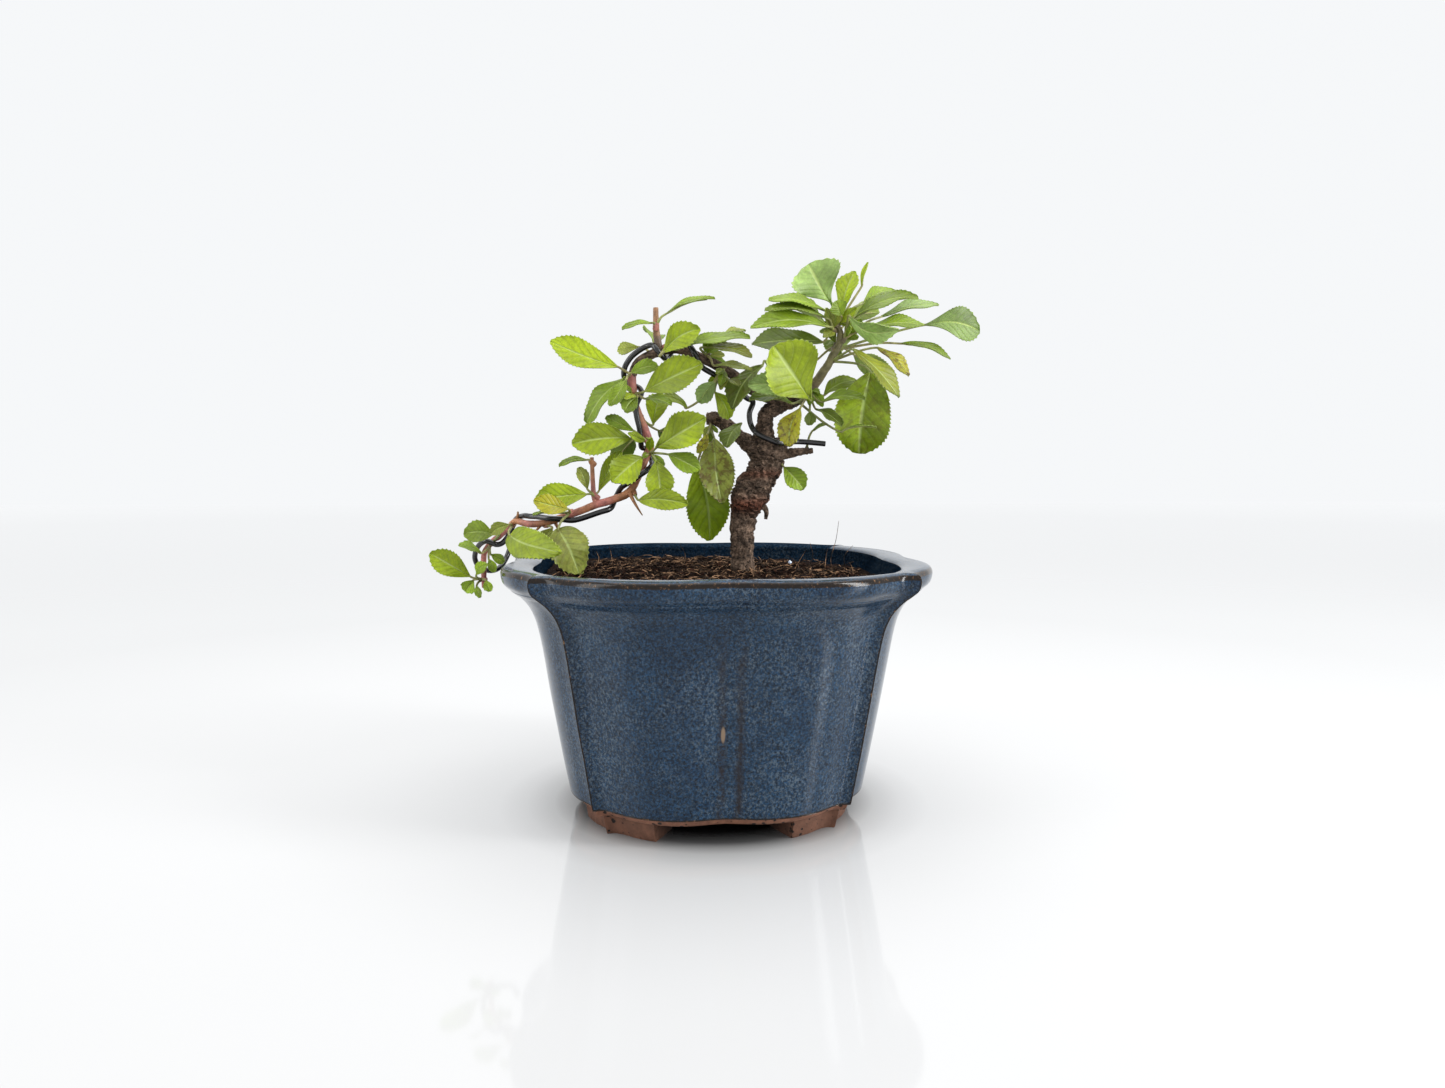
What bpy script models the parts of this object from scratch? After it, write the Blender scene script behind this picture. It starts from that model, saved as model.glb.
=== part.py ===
"""Firethorn bonsai, a trained cascade branch held by wire, in a four-lobed glazed pot.

Metres, +Z up. Sizes are written in millimetres from the middle of the pot, on the ground.
At the end everything moves so that the origin lies under the middle of the whole object.
"""

import math

import bmesh
import bpy
from mathutils import Matrix, Vector

MM = 0.001
GAP = 0.3
FLAT_ANGLE = math.radians(1.5)

# Pot
RIM_HALF_WIDTH = 78.0
RIM_TOP = 86.5
GLAZE_FOOT = 7.7
CLAY_FOOT = 5.4
FLOOR_TOP = 14.0
FLOOR_UNDER = 6.4
DRAIN_RADIUS = 7.0
OUTLINE_STEPS = 6

# Half of one side of the rim, from its middle to the pointed corner: (along, out)
OUTER_HALF_SIDE = ((0, 75.6), (6, 76.4), (19, 78.0), (32, 75.6), (43, 70.0), (51, 63.2), (56, 60.0),
                   (60.5, 60.5))
INNER_HALF_SIDE = ((0, 65.3), (8, 65.8), (18, 66.2), (30, 64.2), (40, 60.2), (47, 55.8), (52, 52))
# The two ends bulge less than the front and the back: the share of the bulge that they keep
END_BULGE = 0.77
# The feet reach a little below the height that the rest is measured from
FOOT_BOTTOM = -1.5
# The wall from the foot up over the lip: (height, share of the rim's outline)
OUTER_WALL = ((GLAZE_FOOT, 0.705), (36, 0.774), (62, 0.832), (71, 0.868), (76, 0.915), (79, 0.962),
              (83.5, 1.0), (RIM_TOP - 0.9, 0.992), (RIM_TOP, 0.968))
INNER_WALL = ((RIM_TOP - 0.4, 1.02), (RIM_TOP - 1.3, 1.0), (82, 0.985), (60, 0.87), (FLOOR_TOP, 0.72))

# The underside from the drain hole out to the glaze: (height, share of the rim's outline)
UNDERSIDE = ((FLOOR_UNDER, 0.6), (CLAY_FOOT, 0.645), (CLAY_FOOT, 0.668), (GLAZE_FOOT, 0.688))

# Feet, one bracket under each corner: (height, outer share, inner share of the rim's outline)
FOOT_STEPS = 3
FOOT_WALL = ((FOOT_BOTTOM, 0.63, 0.47), (CLAY_FOOT - 1.5, 0.648, 0.46), (CLAY_FOOT + 1.6, 0.652, 0.46))

# Screen over the drain hole
MESH_SIZE = 20.0
MESH_HOLES = 2
MESH_BAR = 1.6
MESH_THICK = 0.8

# Soil
SOIL_EDGE = 80.5
SOIL_BOTTOM = FLOOR_TOP + GAP + MESH_THICK + GAP
SOIL_WAIST = 60.0
SOIL_CLEARANCE = 0.95
SOIL_RINGS = 5
SOIL_LUMP = 0.9

# Place the tree was drawn from: rows give a point on the upright sheet through the
# middle of the pot, and its depth carries it along the line of sight from this eye.
EYE = Vector((3.1, -364.5, 119.1))
TREE_TURN = math.radians(-4.4)

# Wood
TRUNK_SIDES = 9
TRUNK_FOOT_RADIUS = 4.1
TRUNK_BURIED = 20.0
BRANCH_SIDES = 6
TWIG_SIDES = 5
WOOD_RELIEF = 0.06

# Wire
WIRE_RADIUS = 1.0
WIRE_SIDES = 5

# Leaves
BLADE = 0.62
STALK_RADIUS = 0.55
BLADE_SKEW = 1.38
BLADE_FULLNESS = 0.68
STALK_SECTION = ((1.0, 0.0), (0.0, 0.7), (-1.0, 0.0), (-0.8, -0.8), (0.0, -1.1), (0.8, -0.8))
STALK_STEP = 0.13
HOOKED_STALK = 1.8
SPUR_RADIUS = 1.3
SPUR_REACH = 1.3
LONG_LEAF = 22.0
SHORT_LEAF = 12.0
ARCH = 0.09
SAG_ARCH = 0.26
FOLD = 0.16

COLOURS = {
    "pot": ((0.05, 0.09, 0.16), 0.15),
    "soil": ((0.055, 0.03, 0.018), 0.95),
    "drain_mesh": ((0.03, 0.03, 0.03), 0.6),
    "wood": ((0.13, 0.085, 0.06), 0.85),
    "training_wire": ((0.01, 0.01, 0.012), 0.3),
    "leaf": ((0.22, 0.38, 0.04), 0.45),
}


def clear_scene():
    for item in list(bpy.data.objects):
        bpy.data.objects.remove(item)


def material(name):
    colour, roughness = COLOURS[name]
    made = bpy.data.materials.new(name)
    made.use_nodes = True
    shader = made.node_tree.nodes["Principled BSDF"]
    shader.inputs["Base Color"].default_value = (*colour, 1)
    shader.inputs["Roughness"].default_value = roughness
    return made


def face_outward(shape):
    if shape.calc_volume(signed=True) < 0:
        bmesh.ops.reverse_faces(shape, faces=shape.faces)


def add_object(name, vertices, faces, look, smooth=True):
    """One named object from vertices in millimetres, with its normals facing out."""
    mesh = bpy.data.meshes.new(name)
    mesh.from_pydata([tuple(Vector(v) * MM) for v in vertices], [], faces)
    shape = bmesh.new()
    shape.from_mesh(mesh)
    bmesh.ops.triangulate(shape, faces=shape.faces)
    bmesh.ops.recalc_face_normals(shape, faces=shape.faces)
    face_outward(shape)
    shape.to_mesh(mesh)
    shape.free()
    if smooth:
        mesh.shade_smooth()
        mesh.set_sharp_from_angle(angle=math.radians(40))
    mesh.materials.append(look)
    made = bpy.data.objects.new(name, mesh)
    bpy.context.scene.collection.objects.link(made)
    return made


def apply_boolean(target, operation, operand=None, collection=None):
    change = target.modifiers.new("join", "BOOLEAN")
    change.operation = operation
    change.solver = "EXACT"
    if collection:
        change.operand_type = "COLLECTION"
        change.collection = collection
    else:
        change.object = operand
    changed = target.evaluated_get(bpy.context.evaluated_depsgraph_get())
    mesh = bpy.data.meshes.new_from_object(changed)
    target.modifiers.clear()
    target.data = mesh


def join_all(name, pieces, look):
    """One closed body from a list of overlapping closed pieces."""
    if len(pieces) == 1:
        pieces[0].name = name
        return pieces[0]
    group = bpy.data.collections.new("joined")
    bpy.context.scene.collection.children.link(group)
    for piece in pieces[1:]:
        bpy.context.scene.collection.objects.unlink(piece)
        group.objects.link(piece)
    bpy.context.view_layer.update()
    apply_boolean(pieces[0], "UNION", collection=group)
    for piece in pieces[1:]:
        bpy.data.objects.remove(piece)
    bpy.data.collections.remove(group)
    pieces[0].name = name
    pieces[0].data.name = name
    return pieces[0]


def flatten(target):
    """Join the splinters that a union leaves on flat faces, and split them again in triangles."""
    shape = bmesh.new()
    shape.from_mesh(target.data)
    bmesh.ops.dissolve_limit(shape, angle_limit=FLAT_ANGLE, verts=shape.verts, edges=shape.edges)
    bmesh.ops.triangulate(shape, faces=shape.faces)
    face_outward(shape)
    shape.to_mesh(target.data)
    shape.free()


def keep_largest(target):
    """Drop the scraps that a cut leaves: only the body with the most faces stays."""
    shape = bmesh.new()
    shape.from_mesh(target.data)
    left = set(shape.verts)
    bodies = []
    while left:
        body = {left.pop()}
        edge = list(body)
        while edge:
            for link in edge.pop().link_edges:
                for end in link.verts:
                    if end not in body:
                        body.add(end)
                        edge.append(end)
        left -= body
        bodies.append(body)
    bodies.sort(key=len)
    for body in bodies[:-1]:
        bmesh.ops.delete(shape, geom=list(body), context="VERTS")
    shape.to_mesh(target.data)
    shape.free()


def curve_through(points, steps):
    """A smooth path through the points, with a number of steps for each span."""
    points = [Vector(p) for p in points]
    ends = [2 * points[0] - points[1]] + points + [2 * points[-1] - points[-2]]
    path = []
    for i in range(1, len(ends) - 2):
        a, b, c, d = ends[i - 1:i + 3]
        for k in range(steps):
            t = k / steps
            path.append(0.5 * (2 * b + (c - a) * t + (2 * a - 5 * b + 4 * c - d) * t * t
                               + (3 * b - a - 3 * c + d) * t ** 3))
    path.append(points[-1])
    return path


def at_share(path, share):
    """The point at a share of the path's length."""
    lengths = [0.0]
    for a, b in zip(path, path[1:]):
        lengths.append(lengths[-1] + (b - a).length)
    goal = share * lengths[-1]
    for i in range(len(path) - 1):
        if lengths[i + 1] >= goal:
            span = lengths[i + 1] - lengths[i]
            return path[i].lerp(path[i + 1], (goal - lengths[i]) / span)
    return path[-1].copy()


def lobed_outline(half_side, steps):
    """The four-sided outline, counter-clockwise from the middle of the front side."""
    path = curve_through([(x, d, 0) for x, d in half_side], 8)
    half = [at_share(path, k / steps) for k in range(steps + 1)]
    corner = half[-1].y
    outline = []
    for quarter in range(4):
        bulge = END_BULGE if quarter % 2 else 1.0
        side = [Vector((p.x, -corner - (p.y - corner) * bulge, 0)) for p in half]
        before = [Vector((-p.x, p.y, 0)) for p in reversed(side[1:])]
        turn = Matrix.Rotation(quarter * math.pi / 2, 3, "Z")
        outline += [turn @ p for p in before + side[:-1]]
    return outline


def ring_at(outline, height, share):
    return [Vector((p.x * share, p.y * share, height)) for p in outline]


def circle_like(outline, height, radius):
    """A circle with as many points as the outline, each in the same direction."""
    return [Vector((p.x, p.y, 0)).normalized() * radius + Vector((0, 0, height)) for p in outline]


def bridge(rings, closed):
    """Vertices and quads of rings joined in order. A closed run joins the last to the first."""
    count = len(rings[0])
    vertices = [p for ring in rings for p in ring]
    faces = []
    spans = len(rings) if closed else len(rings) - 1
    for r in range(spans):
        near = r * count
        far = ((r + 1) % len(rings)) * count
        for k in range(count):
            n = (k + 1) % count
            faces.append((near + k, near + n, far + n, far + k))
    return vertices, faces


def wall_share(height):
    """The inner wall's share of its outline at a height."""
    rows = sorted(INNER_WALL)
    for (low, a), (high, b) in zip(rows, rows[1:]):
        if low <= height <= high:
            return a + (b - a) * (height - low) / (high - low)
    return rows[-1][1]


def make_pot(look):
    outer = lobed_outline(OUTER_HALF_SIDE, OUTLINE_STEPS)
    inner = lobed_outline(INNER_HALF_SIDE, OUTLINE_STEPS)
    rings = [circle_like(outer, FLOOR_UNDER, DRAIN_RADIUS)]
    rings += [ring_at(outer, z, s) for z, s in UNDERSIDE + OUTER_WALL]
    rings += [ring_at(inner, z, s) for z, s in INNER_WALL]
    rings.append(circle_like(outer, FLOOR_TOP, DRAIN_RADIUS))
    pot = add_object("pot", *bridge(rings, True), look)
    feet = [make_foot(outer, corner, look) for corner in range(4)]
    return join_all("pot", [pot] + feet, look)


def make_foot(outer, corner, look):
    """A bracket that follows the outline under one corner, narrower at the ground."""
    side = 2 * OUTLINE_STEPS
    middle = corner * side
    steps = range(-FOOT_STEPS, FOOT_STEPS + 1)
    run = [outer[(middle + k) % len(outer)] for k in steps]
    rings = []
    for height, out, back in FOOT_WALL:
        front = [Vector((p.x * out, p.y * out, height)) for p in run]
        rear = [Vector((p.x * back, p.y * back, height)) for p in reversed(run)]
        rings.append(front + rear)
    vertices, faces = bridge(rings, False)
    count = len(rings[0])
    half = count // 2
    for base in (0, 2 * count):
        for k in range(half - 1):
            faces.append((base + k, base + k + 1, base + count - 2 - k, base + count - 1 - k))
    return add_object("foot", vertices, faces, look)


def lump(x, y):
    """The soil's uneven top, from a few crossed waves."""
    return SOIL_LUMP * (math.sin(0.31 * x + 1.1) * math.cos(0.27 * y)
                        + 0.7 * math.sin(0.63 * x - 0.5 * y + 2.0) + 0.4 * math.sin(1.1 * y + 0.9 * x))


def soil_height(x, y):
    reach = math.hypot(x, y) / RIM_HALF_WIDTH
    tilt = -0.022 * x + 0.004 * y
    return SOIL_EDGE + 1.3 * (1 - reach) + tilt + 0.55 * lump(x, y)


def make_drain_mesh(look):
    """The screen that lies on the floor over the drain hole, under the soil."""
    cells = 2 * MESH_HOLES + 1
    opening = (MESH_SIZE - MESH_BAR * (MESH_HOLES + 1)) / MESH_HOLES
    lines = [-MESH_SIZE / 2]
    for k in range(cells):
        lines.append(lines[-1] + (opening if k % 2 else MESH_BAR))
    shape = bmesh.new()
    spots = [[shape.verts.new((x, y, FLOOR_TOP + GAP)) for x in lines] for y in lines]
    for j in range(cells):
        for i in range(cells):
            if not (i % 2 and j % 2):
                shape.faces.new((spots[j][i], spots[j][i + 1], spots[j + 1][i + 1], spots[j + 1][i]))
    grown = bmesh.ops.extrude_face_region(shape, geom=shape.faces[:])
    for item in grown["geom"]:
        if isinstance(item, bmesh.types.BMVert):
            item.co.z += MESH_THICK
    vertices = [v.co.copy() for v in shape.verts]
    shape.verts.index_update()
    faces = [tuple(v.index for v in face.verts) for face in shape.faces]
    shape.free()
    return add_object("drain_mesh", vertices, faces, look, smooth=False)


def make_soil(look, trunk_foot):
    inner = lobed_outline(INNER_HALF_SIDE, OUTLINE_STEPS)
    clear = 1 - SOIL_CLEARANCE / RIM_HALF_WIDTH
    rings = [ring_at(inner, z, wall_share(z) * clear) for z in (SOIL_BOTTOM, SOIL_WAIST)]
    for k in range(SOIL_RINGS, 0, -1):
        share = wall_share(SOIL_EDGE) * clear * k / SOIL_RINGS
        ring = ring_at(inner, 0, share)
        rings.append([Vector((p.x, p.y, soil_height(p.x, p.y))) for p in ring])
    vertices, faces = bridge(rings, False)
    count = len(inner)
    vertices.append(Vector((0, 0, SOIL_BOTTOM)))
    vertices.append(Vector((0, 0, soil_height(0, 0))))
    top = (len(rings) - 1) * count
    for k in range(count):
        n = (k + 1) % count
        faces.append((n, k, len(vertices) - 2))
        faces.append((top + k, top + n, len(vertices) - 1))
    soil = add_object("soil", vertices, faces, look)
    low = trunk_foot - Vector((0, 0, TRUNK_BURIED + 5 * GAP))
    high = trunk_foot + Vector((0, 0, TRUNK_BURIED))
    hole = make_tube("hole", [low, high], [TRUNK_FOOT_RADIUS + 2 * GAP] * 2, TRUNK_SIDES, look)
    apply_boolean(soil, "DIFFERENCE", operand=hole)
    bpy.data.objects.remove(hole)
    return soil


def frames_along(path):
    """A side direction for each point of a path, carried along without twisting."""
    tangents = []
    for i in range(len(path)):
        a = path[max(i - 1, 0)]
        b = path[min(i + 1, len(path) - 1)]
        tangents.append((b - a).normalized())
    start = Vector((0, 1, 0)) if abs(tangents[0].y) < 0.9 else Vector((1, 0, 0))
    side = (start - tangents[0] * start.dot(tangents[0])).normalized()
    sides = [side]
    for tangent in tangents[1:]:
        side = (side - tangent * side.dot(tangent)).normalized()
        sides.append(side)
    return tangents, sides


def make_tube(name, path, radii, sides, look, relief=0.0):
    """A closed tube along a path. Relief makes it knobbly, like bark."""
    path = [Vector(p) for p in path]
    tangents, across = frames_along(path)
    rings = []
    for i, centre in enumerate(path):
        other = tangents[i].cross(across[i])
        ring = []
        for k in range(sides):
            angle = 2 * math.pi * k / sides
            swell = 1 + relief * (math.sin(3 * angle + 0.9 * i) + 0.8 * math.sin(1.7 * i + angle))
            reach = radii[i] * swell
            ring.append(centre + (across[i] * math.cos(angle) + other * math.sin(angle)) * reach)
        rings.append(ring)
    vertices, faces = bridge(rings, False)
    last = (len(rings) - 1) * sides
    faces.append(tuple(range(sides)))
    faces.append(tuple(range(last, last + sides)))
    return add_object(name, vertices, faces, look)


def seen(x, z, depth):
    """A point of the drawing sheet, carried to its depth and turned with the tree."""
    on_sheet = Vector((x, 0, z))
    point = EYE + (on_sheet - EYE) * (1 - depth / EYE.y)
    c = math.cos(TREE_TURN)
    s = math.sin(TREE_TURN)
    return Vector((point.x * c - point.y * s, point.x * s + point.y * c, point.z))


# Wood: rows of (x, z, depth, radius) on the drawing sheet
TRUNK = ((10.5, 86, 7, 4.1), (10.2, 95, 7, 4.2), (10.9, 103, 7, 5.0), (12.2, 107, 6, 6.2),
         (14, 111, 6, 6.4), (16.8, 116, 5, 5.6), (18.8, 121, 5, 5.9), (19.2, 126, 5, 7.0),
         (18.7, 129.5, 5, 5.8))
RIGHT_LIMB = ((17.5, 126, 5, 4.6), (18.4, 134.5, 4, 3.0), (18.8, 138.5, 3, 2.7), (22.2, 141, 3, 2.7),
              (26.8, 143, 4, 2.8), (31.5, 145, 5, 2.3), (36, 149, 5, 1.8), (39.2, 153.5, 4, 1.6),
              (42, 158, 4, 1.45), (45.5, 165.4, 4, 1.25), (44, 171, 4, 1.0))
LEFT_LIMB = ((17, 125.5, 6, 4.2), (12, 128.5, 8, 2.9), (8.5, 131, 10, 2.4), (4.6, 134.4, 12, 2.5),
             (1.2, 136.8, 14, 2.6), (-2.4, 136.8, 15, 2.2))
FORK_STUB = ((24, 124.2, 4, 2.2), (29.5, 124.8, 3.4, 1.5), (35.8, 125.4, 3.4, 0.9))
DROP_STUB = ((17.0, 106, 4, 1.3), (19, 103.6, 4, 0.9), (18.8, 100.6, 4, 0.6))
CASCADE = ((26.8, 142.5, 4, 2.6), (15, 146.4, 0, 1.9), (6.4, 153, -3, 1.8), (-4.6, 158.6, -5, 1.7),
           (-12.3, 161.6, -6, 1.6), (-19.3, 161, -6, 1.7), (-26.7, 157.4, -6, 1.6),
           (-29.6, 152.3, -6, 1.6), (-29.3, 147.3, -6, 1.5), (-28.2, 140.8, -5, 1.5),
           (-24.9, 132.9, -4, 1.5), (-23.1, 126.4, -4, 1.5), (-24.6, 123.4, -4, 1.5),
           (-26.8, 117.7, -6, 1.4), (-30.8, 110.5, -8, 1.4), (-37, 107.6, -9, 1.4),
           (-42.5, 106, -10, 1.4), (-47.6, 104, -10, 1.3), (-53.1, 102, -10, 1.3),
           (-61.5, 99.3, -9, 1.2), (-67.4, 98.9, -8, 1.2), (-72.2, 99.8, -5, 1.1), (-75.1, 97, 0, 1.0),
           (-78.4, 94.1, 4, 1.0), (-80.2, 93, 6, 1.0), (-83.6, 88.6, 8, 1.0), (-84, 82, 8, 1.0),
           (-84, 75.6, 8, 0.9))
UPRIGHT_TWIG = ((-42.6, 106, -10, 1.0), (-43.7, 110, -9, 0.9), (-44.2, 123, -8, 0.7))
TOP_STUB = ((-19.6, 161, -6, 1.5), (-20.6, 168, -6, 1.2), (-20.8, 176.4, -6, 0.9))
THORNS = (((-30.6, 110, -9, 0.8), (-28.5, 106, -11, 0.5), (-26, 102, -12, 0.2)),
          ((-58.2, 100.6, -9.6, 0.9), (-56.4, 96.8, -8.6, 0.4), (-53.6, 95.2, -8.6, 0.2)),
          ((-62.5, 99.4, -8.6, 0.8), (-64.6, 96.6, -9, 0.4), (-67.4, 94.8, -9, 0.2)),
          ((-72, 99.6, -5, 0.7), (-71.4, 101.8, -6, 0.5), (-71.2, 103.4, -6, 0.3)))
# Each limb with the sides of its section and the steps between its rows
LIMBS = ((RIGHT_LIMB, 8, 2), (LEFT_LIMB, 8, 2), (CASCADE, BRANCH_SIDES, 2), (FORK_STUB, BRANCH_SIDES, 1),
         (DROP_STUB, TWIG_SIDES, 1), (UPRIGHT_TWIG, TWIG_SIDES, 2), (TOP_STUB, BRANCH_SIDES, 2))


def wood_path(rows, steps):
    path = curve_through([seen(x, z, depth) for x, z, depth, radius in rows], steps)
    radii = curve_through([(radius, 0, 0) for x, z, depth, radius in rows], steps)
    return path, [r.x for r in radii]


def lengthen(path, grown):
    """Push both ends of a path out by the same length."""
    if grown:
        path[0] = path[0] - (path[1] - path[0]).normalized() * grown
        path[-1] = path[-1] + (path[-1] - path[-2]).normalized() * grown
    return path


def make_wood(look, grown=0.0):
    """The whole woody skeleton in one body. Grown, it is the cutter that seats the shoots."""
    path, radii = wood_path(TRUNK, 2)
    foot = path[0]
    straight = [foot - Vector((0, 0, h)) for h in (TRUNK_BURIED, 4)]
    path = straight + path
    radii = [r + grown for r in [TRUNK_FOOT_RADIUS] * 2 + radii]
    pieces = [make_tube("trunk", path, radii, TRUNK_SIDES, look, WOOD_RELIEF)]
    for rows, sides, steps in LIMBS:
        path, radii = wood_path(rows, steps)
        radii = [r + grown for r in radii]
        pieces.append(make_tube("limb", lengthen(path, grown), radii, sides, look, WOOD_RELIEF * 0.6))
    for rows in THORNS:
        path, radii = wood_path(rows, 1)
        radii = [r + grown for r in radii]
        pieces.append(make_tube("thorn", lengthen(path, grown), radii, 4, look))
    wood = join_all("trunk_and_branches", pieces, look)
    flatten(wood)
    return wood, foot


# Wire: its two free ends on the drawing sheet, and between them its turns round the branch,
# as (place along the rows of CASCADE, degrees turned), where 0 is in front and 90 is above
WIRE_START = ((40.2, 127.9, 3), (32.2, 128.6, 2), (27.5, 128.6, -0.5), (23.5, 128.2, -3.2),
              (19.9, 129.4, -3.6), (15.6, 131.6, -2.6), (13.4, 134.6, 0), (12.8, 138.8, -0.5))
WIRE_TURNS = ((0.95, 265), (1.5, 272), (2.2, 276), (2.8, 290), (3.3, 360), (4, 450), (4.5, 560),
              (5, 690), (5.4, 800), (6.5, 815), (7.2, 850), (8.0, 960), (8.6, 1050), (9.2, 1090),
              (10, 1120), (10.8, 1165), (11.6, 1260), (12.4, 1350), (13.2, 1430), (14.1, 1530),
              (14.8, 1620), (15.4, 1700), (16.6, 1722), (17.7, 1745), (18.4, 1805), (19.4, 1875),
              (20.3, 1900), (21.0, 1960), (22, 1990), (23, 2060), (23.6, 2130))
WIRE_END = ((-83.2, 92.6, 3.4), (-86.0, 90.6, 6.4), (-87.2, 86.6, 9.5), (-85.6, 83.2, 12), (-81.6, 81.8, 14),
            (-78.2, 83.0, 17), (-75.8, 86.4, 22), (-73.9, 91.3, 24))

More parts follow.
